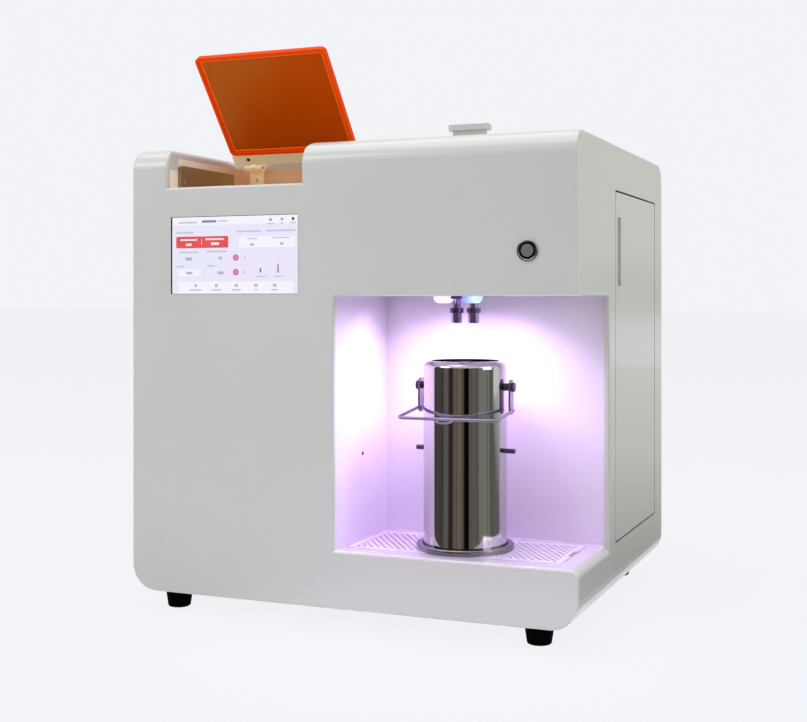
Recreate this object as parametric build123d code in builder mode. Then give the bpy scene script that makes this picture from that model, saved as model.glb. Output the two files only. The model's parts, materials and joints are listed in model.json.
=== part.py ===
"""Bench-top liquid filling machine: cabinet, lit filling bay, lid, service door, pumps and a steel canister.

Millimetres. X runs to the right, Y to the back and Z up. The origin is on the table, under the middle of the
cabinet, which faces -Y.
"""
import os
from math import cos, radians, sin

from build123d import *

# Cabinet
width = 520.0
depth = 420.0
body_height = 500.0
foot_height = 20.0
sheet = 2.5
bend_radius = 24.0
side_bend_radius = 30.0
edge_radius = 3.0
seam_return = 6.0

# Filling bay, open to the front and to the right
bay_width = 266.0
bay_depth = 144.0
bay_lip = 12.0
bay_lip_width = 6.0
header_height = 167.0
deck_height = 62.0
deck_radius = 9.0

# Lid well, cut into the top and the front
well_margin = 46.0
well_width = 169.0
well_depth = 166.0
well_drop = 45.0
shoulder_radius = 10.0
well_floor_ledge = 14.0

# Lid, open at rest
lid_open_angle = 50.0
lid_length = 136.0
lid_height = 6.0
lid_wall = 3.0
lid_corner_radius = 6.0
lid_step_width = 2.5
lid_step_height = 1.2
lid_rim_drop = 2.0
hinge_setback = 8.0
hinge_depth = 9.0
hinge_plate_width = 20.0
hinge_plate_thickness = 3.0
hinge_pin_radius = 2.0
knuckle_radius = 4.5
knuckle_width = 8.0
hinge_inset = 20.0
foot_plate_height = 22.0
foot_plate_thickness = 3.0

# Fits
running_gap = 0.05
side_gap = 0.4
touch_gap = 0.3

# Well plates and tank
plate_thickness = 4.0
plate_top_drop = 18.0
plate_front_gap = 23.0
plate_length = 121.0
screw_radius = 2.6
screw_head = 1.6
tank_gap = 2.0
tank_wall = 2.0
tank_depth = 140.0
tank_flange = 6.0
tank_flange_thickness = 1.5
tank_corner_radius = 12.0
spigot_radius = 5.0
spigot_length = 12.0
spigot_bore = 3.0
sensor_radius = 5.0
sensor_length = 120.0

# Display
screen_width = 160.0
screen_height = 86.4
screen_from_left = 131.4
screen_from_top = 121.6
glass_border = 6.0
glass_thickness = 2.0
module_border = 3.0
module_thickness = 8.0
display_board_thickness = 1.6

# Push button
button_from_right = 52.0
button_from_top = 121.4
bezel_radius = 11.2
bezel_proud = 2.0
barrel_radius = 9.4
barrel_length = 26.0
cap_radius = 6.5
cap_length = 7.0
cap_gap = 0.5
cap_bore_depth = 12.0
cap_stem_radius = 2.5
nut_radius = 13.0
nut_thickness = 4.0

# Nozzle head
fill_from_right = 143.0
fill_from_front = 70.0
nozzle_spacing = 19.4
nozzle_drop = 29.0
nozzle_radius = 5.9
nozzle_bore = 3.0
collar_radius = 7.5
collar_height = 5.3
nozzle_tip_length = 11.0
stem_radius = 4.5
block_width = 64.0
block_depth = 70.0
block_height = 14.0
valve_width = 17.0
valve_depth = 30.0
valve_height = 40.0
lamp_radius = 11.0
lamp_drop = 7.5
lamp_spacing = 32.0
lamp_forward = 23.0
lamp_board_height = 3.0
lamp_neck_radius = 7.0
lamp_neck_length = 8.5
set_screw_radius = 1.5
spigot_reach = 8.0
hose_bore = 2.6

# Drip tray and grid
tray_left_margin = 2.0
tray_width = 240.0
tray_front_margin = 23.0
tray_length = 108.0
grid_proud = 0.3
grid_thickness = 1.5
grid_gap = 1.2
grid_corner_radius = 4.0
grid_border = 7.0
hole_pitch = 10.5
hole_radius = 1.9
finger_width = 26.0
finger_depth = 4.0
tray_flange_thickness = 1.5
ledge_width = 5.0
ledge_thickness = 2.5
ledge_wall = 2.0
tray_depth = 32.0
tray_wall = 1.5
tray_corner_radius = 8.0

# Service door
door_width = 210.0
door_from_rear = 48.0
door_from_top = 52.0
door_from_bottom = 63.0
door_gap = 2.0
door_hinge_gap = 3.0
door_corner_radius = 5.0
door_flange = 12.0
pivot_radius = 2.5
pivot_length = 8.0
pivot_inset_x = 7.0
pivot_inset_y = 5.0
bracket_width = 18.0
pull_width = 16.0
pull_height = 76.0
pull_depth = 12.0
pull_margin = 9.0
pull_from_top = 117.5
pull_wall = 1.5

# Lift-off cover in the top
cover_width = 130.0
cover_length = 90.0
cover_from_front = 85.0
cover_thickness = 1.5
cover_lap = 6.0
cover_rim_depth = 10.0
cover_rim_gap = 0.5
cover_corner_radius = 8.0
grip_width = 46.0
grip_length = 18.0
grip_height = 18.5
grip_cap_height = 7.0
grip_neck_inset = 4.0

# Pumps on their mounting plate
pump_plate_from_right = 112.0
pump_plate_thickness = 2.0
pump_plate_gap = 13.5
pump_plate_from_top = 50.0
plate_flange = 20.0
pump_from_rear = 150.0
pump_heights = (360.0, 230.0)
motor_size = 57.0
motor_length = 56.0
housing_size = 84.0
housing_depth = 28.0
housing_radius = 14.0
housing_back = 4.0
cavity_radius = 33.5
pump_tube_radius = 3.6
roller_radius = 6.0
roller_circle = 19.0
roller_count = 3
rotor_radius = 22.0
rotor_plate = 3.0
rotor_length = 20.0
hub_radius = 6.0
shaft_radius = 3.2
shaft_reach = 14.0
pump_tube_circle = 29.0
tube_bore = 2.2
roller_pin_radius = 2.0

# Hoses
hose_radius = 4.0
hose_bend = 16.0
suction_from_left = (110.0, 150.0)
suction_drop = 35.0
dispense_from_right = (60.0, 44.0)
dispense_from_top = (70.0, 50.0)
spigot_from_tank_rear = 30.0

# Electrics
board_width = 160.0
board_height = 110.0
board_height_above_base = 85.0
board_thickness = 1.6
standoff_height = 8.0
standoff_radius = 3.0
supply_width = 150.0
supply_length = 98.0
supply_height = 40.0
supply_from_left = 140.0
supply_from_rear = 180.0

# Rear
recess_width = 150.0
recess_height = 110.0
recess_from_left = 130.0
recess_above_base = 120.0
recess_depth = 24.0
recess_flange = 8.0
inlet_width = 48.0
inlet_height = 28.0
inlet_shift = (-40.0, 25.0)
inlet_proud = 3.0
switch_width = 24.0
switch_height = 30.0
switch_shift = (25.0, 25.0)
switch_proud = 3.0
rocker_angle = 12.0
rocker_radius = 13.0
rocker_width = 13.0
rocker_gap = 0.4
rocker_pin = 1.5
barb_spacing = 30.0
barb_drop = 28.0
barb_radius = 4.5
vent_count = 10
vent_pitch = 10.0
vent_width = 70.0
vent_height = 4.0
vent_from_side = 150.0
vent_from_top = 130.0
casing_screw_radius = 3.5
casing_screw_head = 2.0
casing_screw_inset = 14.0
screw_shank_radius = 1.7
screw_shank_length = 8.0

# Feet
foot_from_side = 47.0
foot_from_front = 25.0
foot_from_rear = 40.0
foot_top_radius = 15.5
foot_bottom_radius = 12.5
foot_edge_radius = 2.5

# Canister
can_radius = 45.0
can_height = 200.0
can_wall = 1.5
can_shoulder_radius = 8.0
can_mouth_radius = 36.5
can_floor_radius = 4.0
ring_radius = 52.5
ring_height = 6.0
ring_lip = 1.5
ring_lip_radius = 38.0
ring_gap = 1.5
stud_z = 174.0
stud_radius = 4.0
arm_gap = 5.5
arm_thickness = 2.0
arm_width = 9.0
arm_above = 8.0
arm_drop = 24.5
stud_head = 3.0
stud_head_radius = 5.0
pin_z = 106.0
pin_radius = 2.6
pin_length = 11.0
wire_radius = 1.75
wire_gap = 0.35
bail_reach = 61.0
bail_angle = 6.0
bail_corner_radius = 9.0
eye_bend_radius = 2.0

# Places that follow from the sizes above
left = -width / 2
right = width / 2
front = -depth / 2
rear = depth / 2
bottom_z = foot_height
top_z = foot_height + body_height
inner_front = front + sheet
inner_right = right - sheet
inner_rear = rear - sheet
front_seam = front + seam_return
side_seam = width / 2 - deck_radius
base_seam = bottom_z + side_bend_radius
bend_seam = top_z - bend_radius
bay_left = right - bay_width
bay_rear = front + bay_depth
lip_y = bay_rear - bay_lip
deck_z = bottom_z + deck_height
bay_top = top_z - header_height
well_left = left + well_margin
well_right = well_left + well_width
well_x = (well_left + well_right) / 2
well_rear = front + well_depth
well_z = top_z - well_drop
beyond = 20.0
screen_x = left + screen_from_left
screen_z = top_z - screen_from_top
button_x = right - button_from_right
button_z = top_z - button_from_top
fill_x = right - fill_from_right
fill_y = front + fill_from_front
door_zs = (bottom_z + door_from_bottom, top_z - door_from_top)
door_ys = (rear - door_from_rear - door_width, rear - door_from_rear)
door_y = sum(door_ys) / 2
door_z = sum(door_zs) / 2
door_height = door_zs[1] - door_zs[0]
pull_z = top_z - pull_from_top
cover_y = front + cover_from_front
pump_plate_x = right - pump_plate_from_right
pump_plate_front = bay_rear + sheet + pump_plate_gap
pump_plate_top = top_z - pump_plate_from_top
pump_y = rear - pump_from_rear
pump_z = [bottom_z + height for height in pump_heights]
suction_x = [left + distance for distance in suction_from_left]
dispense_x = [right - distance for distance in dispense_from_right]
dispense_z = [top_z - distance for distance in dispense_from_top]
board_y = pump_y
board_z = bottom_z + board_height_above_base
supply_x = left + supply_from_left
supply_y = rear - supply_from_rear
recess_x = left + recess_from_left
recess_z = bottom_z + recess_above_base
inlet_x = recess_x + inlet_shift[0]
inlet_z = recess_z + inlet_shift[1]
switch_x = recess_x + switch_shift[0]
switch_z = recess_z + switch_shift[1]
barb_x = [recess_x - 5 + i * barb_spacing for i in (-1, 0, 1)]
barb_z = recess_z - barb_drop
vent_x = (left + vent_from_side, right - vent_from_side)
vent_z = top_z - vent_from_top
foot_xs = (left + foot_from_side, right - foot_from_side)
foot_ys = (front + foot_from_front, rear - foot_from_rear)


def block(x_range, y_range, z_range, mode=Mode.ADD):
    """Rectangular block between two corners, added to or cut from the active part."""
    sizes = [high - low for low, high in (x_range, y_range, z_range)]
    middle = [(high + low) / 2 for low, high in (x_range, y_range, z_range)]
    with Locations(tuple(middle)):
        Box(*sizes, mode=mode)


def on_plane(edge, axis, value):
    """True where the whole edge lies on the plane at value along axis."""
    box = edge.bounding_box()
    low, high = getattr(box.min, axis), getattr(box.max, axis)
    return abs(low - value) < 0.01 and abs(high - value) < 0.01


def cabinet_form(inset):
    """Outer form of the cabinet with its bay and lid well, every face moved inwards by inset."""
    middle_z = bottom_z + body_height / 2
    with BuildPart() as form:
        with BuildSketch(Plane.XZ):
            with Locations((0, middle_z)):
                Rectangle(width - 2 * inset, body_height - 2 * inset)
            fillet(vertices().group_by(Axis.Y)[0], side_bend_radius - inset)
        extrude(amount=depth / 2 - inset, both=True)
        with BuildSketch(Plane.YZ):
            with Locations((0, middle_z)):
                Rectangle(depth - 2 * inset, body_height - 2 * inset)
            fillet(vertices().group_by(Axis.Y)[-1], bend_radius - inset)
        extrude(amount=width / 2 - inset, both=True, mode=Mode.INTERSECT)
        with BuildSketch(Plane.XZ.offset(-lip_y - inset)):
            with Locations((bay_left - inset, deck_z - inset)):
                Rectangle(bay_width + beyond + inset, bay_top - deck_z + 2 * inset,
                          align=(Align.MIN, Align.MIN))
            with Locations((right - deck_radius, deck_z - deck_radius)):
                Rectangle(deck_radius + beyond, deck_radius, align=(Align.MIN, Align.MIN))
                Circle(deck_radius - inset, mode=Mode.SUBTRACT)
        extrude(amount=lip_y - front + beyond + inset, mode=Mode.SUBTRACT)
        bay_right = right - bay_lip_width
        block((bay_left - inset, bay_right + inset), (lip_y - beyond, bay_rear + inset),
              (deck_z - inset, bay_top + inset), mode=Mode.SUBTRACT)
        with BuildSketch(Plane.XZ.offset(-well_rear - inset)):
            with Locations((well_x, well_z - inset)):
                Rectangle(well_width + 2 * inset, well_drop + beyond, align=(Align.CENTER, Align.MIN))
            with Locations((well_x, top_z - shoulder_radius)):
                Rectangle(well_width + 2 * shoulder_radius, shoulder_radius + beyond,
                          align=(Align.CENTER, Align.MIN))
            with Locations((well_left - shoulder_radius, top_z - shoulder_radius),
                           (well_right + shoulder_radius, top_z - shoulder_radius)):
                Circle(shoulder_radius - inset, mode=Mode.SUBTRACT)
        extrude(amount=well_rear - front + beyond + inset, mode=Mode.SUBTRACT)
    return form


def outer_edges(form):
    """Edges of the front face and of the two sides that the sheet turns round with the small radius."""
    chosen = []
    for edge in form.edges():
        middle = edge.center()
        tangent = any(abs(middle.Z - z) < 0.01 for z in (base_seam, deck_z - deck_radius))
        if on_plane(edge, "Y", front):
            if edge.geom_type == GeomType.CIRCLE or abs(middle.Z - bend_seam) > 0.01:
                chosen.append(edge)
        elif on_plane(edge, "X", left) or on_plane(edge, "X", right):
            if not tangent and not on_plane(edge, "Y", rear):
                chosen.append(edge)
    return chosen


def round_heel(inset):
    """Rounds the lower rear edge of the active part, whose faces lie inset inside the cabinet's."""
    with BuildSketch(Plane.YZ) as corner:
        with Locations((rear - bend_radius, bottom_z + bend_radius)):
            Rectangle(bend_radius + beyond, bend_radius + beyond, align=(Align.MIN, Align.MAX))
            Circle(bend_radius - inset, mode=Mode.SUBTRACT)
    extrude(corner.sketch, amount=width / 2 + beyond, both=True, mode=Mode.SUBTRACT)


def rounded_frame(x_range, y_range, corner_radius, z_low, height, mode=Mode.ADD):
    """Rectangular plate with rounded upright corners, added to or cut from the active part."""
    with BuildSketch(Plane.XY.offset(z_low)) as outline:
        with Locations((sum(x_range) / 2, sum(y_range) / 2)):
            RectangleRounded(x_range[1] - x_range[0], y_range[1] - y_range[0], corner_radius)
    extrude(outline.sketch, amount=height, mode=mode)


def pin(plane, radius, length, mode=Mode.ADD):
    """Round bar from the plane's origin along its normal, added to or cut from the active part."""
    with BuildSketch(plane) as outline:
        Circle(radius)
    extrude(outline.sketch, amount=length, mode=mode)


def grown(interval, amount):
    """The interval made longer by amount at both ends."""
    return (interval[0] - amount, interval[1] + amount)


def facing(x, y, z, direction):
    """Plane at a point whose normal is one of the row axes, such as (0, -1, 0)."""
    return Plane(origin=(x, y, z), z_dir=direction)


# Cabinet: one bent and welded skin, cut along its seams into panels
with BuildPart() as hollow:
    add(cabinet_form(sheet).part)
    round_heel(sheet)

with BuildPart() as casing:
    add(cabinet_form(0).part)
    fillet(outer_edges(casing), edge_radius)
    round_heel(0)
    add(hollow.part, mode=Mode.SUBTRACT)

across = (left - beyond, right + beyond)
inside = (-side_seam, side_seam)
behind_front = (front_seam, rear + beyond)
rear_seam = rear - seam_return
rear_screw_zs = (base_seam + casing_screw_inset, bend_seam - casing_screw_inset)
rear_screw_places = [(sx * (side_seam - casing_screw_inset), z) for sx in (-1, 1) for z in rear_screw_zs]
bay_across = (bay_left - sheet, side_seam)
bay_along = (front_seam, bay_rear + sheet)
cover_xs = (fill_x - cover_width / 2, fill_x + cover_width / 2)
cover_ys = (cover_y - cover_length / 2, cover_y + cover_length / 2)

with BuildPart() as front_zone:
    block(across, (front - beyond, front_seam), (bottom_z - beyond, top_z + beyond))
    block(inside, (front_seam, front + bend_radius), (bend_seam, top_z + beyond))

with BuildPart() as front_panel:
    add(casing.part)
    add(front_zone.part, mode=Mode.INTERSECT)
    block((screen_x - screen_width / 2, screen_x + screen_width / 2), (front - beyond, front_seam),
          (screen_z - screen_height / 2, screen_z + screen_height / 2), mode=Mode.SUBTRACT)
    pin(facing(button_x, front - beyond, button_z, (0, 1, 0)), barrel_radius + touch_gap,
        beyond + seam_return, mode=Mode.SUBTRACT)

well_wall_xs = (well_left - sheet, well_right + sheet)
well_wall_top = top_z - shoulder_radius

with BuildPart() as top_panel:
    add(casing.part)
    block(inside, (front + bend_radius, rear + beyond), (bend_seam, top_z + beyond), mode=Mode.INTERSECT)
    block(well_wall_xs, (front, well_rear + sheet), (bend_seam, well_wall_top), mode=Mode.SUBTRACT)
    rounded_frame(grown(cover_xs, -cover_lap), grown(cover_ys, -cover_lap),
                  cover_corner_radius - cover_lap / 2, top_z - sheet, sheet, mode=Mode.SUBTRACT)

with BuildPart() as well_zone:
    block(well_wall_xs, (front_seam, well_rear + sheet), (well_z - sheet, bend_seam))
    block(well_wall_xs, (front + bend_radius, well_rear + sheet), (bend_seam, well_wall_top))

with BuildPart() as lid_well:
    add(casing.part)
    add(well_zone.part, mode=Mode.INTERSECT)
    rounded_frame((well_left + well_floor_ledge, well_right - well_floor_ledge),
                  (front + bend_radius + well_floor_ledge, well_rear - well_floor_ledge),
                  tank_corner_radius, well_z - sheet, sheet, mode=Mode.SUBTRACT)

with BuildPart() as left_side_panel:
    add(casing.part)
    block((left - beyond, -side_seam), behind_front, (base_seam, top_z + beyond), mode=Mode.INTERSECT)

with BuildPart() as right_side_panel:
    add(casing.part)
    block((side_seam, right + beyond), behind_front, (base_seam, top_z + beyond), mode=Mode.INTERSECT)
    with BuildSketch(Plane.YZ.offset(inner_right - sheet)):
        with Locations((door_y + (door_hinge_gap - door_gap) / 2, door_z)):
            RectangleRounded(door_width + door_gap + door_hinge_gap, door_height + 2 * door_gap, door_gap)
    extrude(amount=beyond, mode=Mode.SUBTRACT)

with BuildPart() as base_pan:
    add(casing.part)
    block(across, behind_front, (bottom_z - beyond, base_seam), mode=Mode.INTERSECT)

with BuildPart() as rear_panel:
    add(casing.part)
    block(inside, (rear_seam, rear + beyond), (base_seam, bend_seam), mode=Mode.INTERSECT)
    with BuildSketch(Plane.XZ.offset(-rear - beyond)):
        with Locations((recess_x, recess_z)):
            Rectangle(recess_width, recess_height)
        for x in vent_x:
            with Locations((x, vent_z)):
                with GridLocations(vent_width, vent_pitch, 1, vent_count):
                    Rectangle(vent_width, vent_height)
        with Locations(*rear_screw_places):
            Circle(screw_shank_radius + touch_gap)
    extrude(amount=beyond + seam_return, mode=Mode.SUBTRACT)

# Filling bay: side wall, back wall and ceiling are flat sheets, the deck carries the tray on a sunk ledge
nozzle_xs = (fill_x - nozzle_spacing / 2, fill_x + nozzle_spacing / 2)
lamp_xs = (fill_x - lamp_spacing / 2, fill_x + lamp_spacing / 2)
lamp_y = fill_y - lamp_forward

with BuildPart() as bay_side_wall:
    add(casing.part)
    block((bay_left - sheet, bay_left), (front_seam, bay_rear), (deck_z, bay_top), mode=Mode.INTERSECT)

with BuildPart() as bay_back_wall:
    add(casing.part)
    block(bay_across, (bay_rear, bay_rear + sheet), (deck_z, bay_top), mode=Mode.INTERSECT)

with BuildPart() as bay_ceiling:
    add(casing.part)
    block(bay_across, bay_along, (bay_top, bay_top + sheet), mode=Mode.INTERSECT)
    for x in nozzle_xs:
        pin(facing(x, fill_y, bay_top, (0, 0, 1)), stem_radius + touch_gap, sheet, mode=Mode.SUBTRACT)
    for x in lamp_xs:
        pin(facing(x, lamp_y, bay_top, (0, 0, 1)), lamp_neck_radius + touch_gap, sheet, mode=Mode.SUBTRACT)

tray_x = (bay_left + tray_left_margin, bay_left + tray_left_margin + tray_width)
tray_y = (front + tray_front_margin, front + tray_front_margin + tray_length)
grid_z = deck_z + grid_proud
tray_flange_z = grid_z - grid_thickness
ledge_z = tray_flange_z - tray_flange_thickness


with BuildPart() as bay_deck:
    add(casing.part)
    block(bay_across, bay_along, (deck_z - sheet, deck_z), mode=Mode.INTERSECT)
    block(grown(tray_x, ledge_wall), grown(tray_y, ledge_wall), (ledge_z - ledge_thickness, deck_z - sheet))
    rounded_frame(tray_x, tray_y, grid_corner_radius, ledge_z, beyond, mode=Mode.SUBTRACT)
    rounded_frame(grown(tray_x, -ledge_width), grown(tray_y, -ledge_width), tray_corner_radius,
                  ledge_z - beyond, 2 * beyond, mode=Mode.SUBTRACT)

body_x = grown(tray_x, -ledge_width - touch_gap)
body_y = grown(tray_y, -ledge_width - touch_gap)
plate_x = grown(tray_x, -grid_gap)
plate_y = grown(tray_y, -grid_gap)

with BuildPart() as drip_tray:
    rounded_frame(plate_x, plate_y, grid_corner_radius, ledge_z, tray_flange_thickness)
    rounded_frame(body_x, body_y, tray_corner_radius, ledge_z - tray_depth, tray_depth)
    rounded_frame(grown(body_x, -tray_wall), grown(body_y, -tray_wall), tray_corner_radius - tray_wall,
                  ledge_z - tray_depth + tray_wall, tray_depth + beyond, mode=Mode.SUBTRACT)

with BuildPart() as drip_grid:
    rounded_frame(plate_x, plate_y, grid_corner_radius, tray_flange_z, grid_thickness)
    with BuildSketch(Plane.XY.offset(tray_flange_z)):
        with BuildLine():
            notch_y = sum(plate_y) / 2 + finger_depth
            Polyline((plate_x[1] + 1, notch_y - finger_width / 2 - finger_depth),
                     (plate_x[1] - finger_depth, notch_y - finger_width / 2 + 1),
                     (plate_x[1] - finger_depth, notch_y + finger_width / 2 - 1),
                     (plate_x[1] + 1, notch_y + finger_width / 2 + finger_depth), close=True)
        make_face()
    extrude(amount=grid_thickness, mode=Mode.SUBTRACT)
    row_pitch = hole_pitch * cos(radians(30))
    hole_columns = int((plate_x[1] - plate_x[0] - 2 * grid_border) / hole_pitch)
    hole_rows = int((plate_y[1] - plate_y[0] - 2 * grid_border) / row_pitch / 2) + 1
    with BuildSketch(Plane.XY.offset(tray_flange_z)):
        for shift in (0, 1):
            row_x = sum(plate_x) / 2 + (shift - 0.5) * hole_pitch / 2
            row_y = sum(plate_y) / 2 + (shift - 0.5) * row_pitch
            with Locations((row_x, row_y)):
                with GridLocations(hole_pitch, 2 * row_pitch, hole_columns, hole_rows):
                    RegularPolygon(hole_radius, 6)
    extrude(amount=grid_thickness, mode=Mode.SUBTRACT)


# Lid well: stainless side plates, tank with its level sensor
with BuildPart() as well_side_plates:
    plate_y = (front + plate_front_gap, front + plate_front_gap + plate_length)
    plate_zs = (well_z, top_z - plate_top_drop)
    block((well_left, well_left + plate_thickness), plate_y, plate_zs)
    block((well_right - plate_thickness, well_right), plate_y, plate_zs)
    fillet([e for e in edges().filter_by(Axis.X) if e.center().Z > well_z + 1], plate_thickness)

tank_x = (well_left + well_floor_ledge + tank_gap, well_right - well_floor_ledge - tank_gap)
tank_y = (front + bend_radius + well_floor_ledge + tank_gap, well_rear - well_floor_ledge - tank_gap)
tank_bottom = well_z - tank_depth
spigot_y = tank_y[1] - spigot_from_tank_rear

with BuildPart() as tank:
    rounded_frame(grown(tank_x, tank_flange), grown(tank_y, tank_flange), tank_corner_radius, well_z,
                  tank_flange_thickness)
    rounded_frame(tank_x, tank_y, tank_corner_radius, tank_bottom, tank_depth)
    rounded_frame(grown(tank_x, -tank_wall), grown(tank_y, -tank_wall), tank_corner_radius - tank_wall,
                  tank_bottom + tank_wall, tank_depth, mode=Mode.SUBTRACT)
    for x in suction_x:
        pin(facing(x, spigot_y, tank_bottom, (0, 0, -1)), spigot_radius, spigot_length)
        pin(facing(x, spigot_y, tank_bottom + tank_wall, (0, 0, -1)), spigot_bore,
            tank_wall + spigot_length, mode=Mode.SUBTRACT)

with BuildPart() as level_sensor:
    sensor_x = tank_x[1] - 14
    sensor_y = tank_y[1] - 20
    pin(facing(sensor_x, sensor_y, well_z + 10, (0, 0, -1)), sensor_radius, sensor_length)
    block((sensor_x, tank_x[1] + tank_flange), (sensor_y - 4, sensor_y + 4),
          (well_z + tank_flange_thickness, well_z + tank_flange_thickness + 2))

# Lid and its two friction hinges
hinge_y = well_rear - hinge_setback
hinge_z = top_z - hinge_depth
lid_width = well_width - 2 * side_gap
lid_plane = Plane(origin=(well_x, hinge_y, hinge_z), x_dir=(-1, 0, 0),
                  z_dir=(0, sin(radians(lid_open_angle)), cos(radians(lid_open_angle))))
lid_base = -lid_rim_drop
lid_top = lid_base + lid_height
bracket_u = lid_width / 2 - hinge_inset - knuckle_width / 2
bracket_us = (-bracket_u, bracket_u)
knuckle_step = knuckle_width + side_gap


def lid_block(u_range, v_range, w_range, corner_radius, mode=Mode.ADD):
    """Block with rounded corners laid out on the lid's own plane."""
    with BuildSketch(lid_plane.offset(w_range[0])) as outline:
        with Locations((sum(u_range) / 2, sum(v_range) / 2)):
            RectangleRounded(u_range[1] - u_range[0], v_range[1] - v_range[0], corner_radius)
    extrude(outline.sketch, amount=w_range[1] - w_range[0], mode=mode)


with BuildPart() as lid:
    lid_us = (-lid_width / 2, lid_width / 2)
    lid_vs = (hinge_plate_width, hinge_plate_width + lid_length)
    lid_block(lid_us, lid_vs, (lid_base, lid_top), lid_corner_radius)
    lid_block(grown(lid_us, -lid_wall), grown(lid_vs, -lid_wall), (lid_base, lid_top - lid_wall),
              lid_corner_radius - lid_wall, mode=Mode.SUBTRACT)
    lid_block(grown(lid_us, -lid_wall), grown(lid_vs, -lid_wall),
              (lid_top - lid_wall - lid_step_height, lid_top - lid_wall), lid_corner_radius - lid_wall)
    lid_block(grown(lid_us, -lid_wall - lid_step_width), grown(lid_vs, -lid_wall - lid_step_width),
              (lid_top - lid_wall - lid_step_height, lid_top - lid_wall), lid_corner_radius - lid_wall,
              mode=Mode.SUBTRACT)


def lid_pin(u, radius, length, mode=Mode.ADD):
    """Bar along the hinge line, centred at u."""
    middle = well_x - u
    pin(facing(middle - length / 2, hinge_y, hinge_z, (1, 0, 0)), radius, length, mode=mode)


with BuildPart() as hinge_plate:
    lid_block(lid_us, (knuckle_radius + 1.5, hinge_plate_width),
              (-hinge_plate_thickness / 2, hinge_plate_thickness / 2), 1.0)
    for u in bracket_us:
        for step in (-knuckle_step, knuckle_step):
            lid_block(grown((u + step, u + step), knuckle_width / 2), (0, knuckle_radius + 2.5),
                      (-hinge_plate_thickness / 2, hinge_plate_thickness / 2), 0.5)
            lid_pin(u + step, knuckle_radius, knuckle_width)
    for u in bracket_us:
        for step in (-knuckle_step, knuckle_step):
            lid_pin(u + step, hinge_pin_radius + running_gap, knuckle_width, mode=Mode.SUBTRACT)

with BuildPart() as hinge_brackets:
    for u in bracket_us:
        x = well_x - u
        block(grown((x, x), knuckle_width / 2 + 5), (well_rear - foot_plate_thickness, well_rear),
              (hinge_z - foot_plate_height, hinge_z))
        block(grown((x, x), knuckle_width / 2), (hinge_y, well_rear), (hinge_z - knuckle_radius, hinge_z))
        lid_pin(u, knuckle_radius, knuckle_width)
    for u in bracket_us:
        lid_pin(u, hinge_pin_radius, knuckle_width, mode=Mode.SUBTRACT)
        pin(facing(well_x - u, well_rear, hinge_z - foot_plate_height + 7, (0, -1, 0)), screw_radius,
            foot_plate_thickness, mode=Mode.SUBTRACT)

with BuildPart() as hinge_pins:
    for u in bracket_us:
        lid_pin(u, hinge_pin_radius, 3 * knuckle_width + 2 * side_gap)

# Display behind its window
glass_y = inner_front
with BuildPart() as display_glass:
    block(grown((screen_x, screen_x), screen_width / 2 + glass_border), (glass_y, glass_y + glass_thickness),
          grown((screen_z, screen_z), screen_height / 2 + glass_border))

module_y = glass_y + glass_thickness
with BuildPart() as display_module:
    block(grown((screen_x, screen_x), screen_width / 2 + module_border),
          (module_y, module_y + module_thickness),
          grown((screen_z, screen_z), screen_height / 2 + module_border))

board_y0 = module_y + module_thickness
with BuildPart() as display_board:
    block(grown((screen_x, screen_x), screen_width / 2), (board_y0, board_y0 + display_board_thickness),
          grown((screen_z, screen_z), screen_height / 2))
    for share, size in ((-0.31, 12.0), (0.0, 22.0), (0.32, 15.0)):
        x = screen_x + share * screen_width
        chip_y = board_y0 + display_board_thickness
        block(grown((x, x), size / 2), (chip_y, chip_y + 5), grown((screen_z, screen_z), size / 2))

# Push button
button_face = front - bezel_proud
with BuildPart() as button_bezel:
    pin(facing(button_x, button_face, button_z, (0, 1, 0)), bezel_radius, bezel_proud)
    fillet(edges().group_by(Axis.Y)[0], 0.8)
    pin(facing(button_x, front, button_z, (0, 1, 0)), barrel_radius, barrel_length)
    pin(facing(button_x, button_face, button_z, (0, 1, 0)), cap_radius + cap_gap, cap_bore_depth,
        mode=Mode.SUBTRACT)
    pin(facing(button_x, button_face, button_z, (0, 1, 0)), cap_stem_radius + running_gap,
        barrel_length - 2, mode=Mode.SUBTRACT)

with BuildPart() as button_nut:
    with BuildSketch(Plane.XZ.offset(-inner_front - nut_thickness)):
        with Locations((button_x, button_z)):
            RegularPolygon(nut_radius, 6)
            Circle(barrel_radius + running_gap, mode=Mode.SUBTRACT)
    extrude(amount=nut_thickness)

with BuildPart() as button_cap:
    pin(facing(button_x, button_face, button_z, (0, 1, 0)), cap_radius, cap_length)
    fillet(edges().group_by(Axis.Y)[0], 0.6)
    pin(facing(button_x, button_face + cap_length, button_z, (0, 1, 0)), cap_stem_radius,
        cap_bore_depth - cap_length + 6)

# Nozzle head: block on the ceiling, two nozzles with collars, two lamps and two valves
nozzle_bottom = bay_top - nozzle_drop
collar_z = nozzle_bottom + nozzle_tip_length
head_z = bay_top + sheet
valve_z = head_z + block_height

with BuildPart() as nozzle_block:
    block(grown((fill_x, fill_x), block_width / 2), grown((fill_y, fill_y), block_depth / 2),
          (head_z, valve_z))
    for x in nozzle_xs:
        pin(facing(x, fill_y, head_z, (0, 0, 1)), stem_radius, block_height, mode=Mode.SUBTRACT)
    for x in lamp_xs:
        pin(facing(x, lamp_y, head_z, (0, 0, 1)), lamp_neck_radius + running_gap,
            lamp_neck_length - sheet, mode=Mode.SUBTRACT)

with BuildPart() as nozzle_tubes:
    for x in nozzle_xs:
        pin(facing(x, fill_y, nozzle_bottom, (0, 0, 1)), nozzle_radius, nozzle_tip_length)
    fillet(edges().group_by(Axis.Z)[0], 0.8)
    for x in nozzle_xs:
        pin(facing(x, fill_y, collar_z, (0, 0, 1)), stem_radius, valve_z - collar_z)
    for x in nozzle_xs:
        pin(facing(x, fill_y, nozzle_bottom, (0, 0, 1)), nozzle_bore, valve_z - nozzle_bottom,
            mode=Mode.SUBTRACT)

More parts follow.
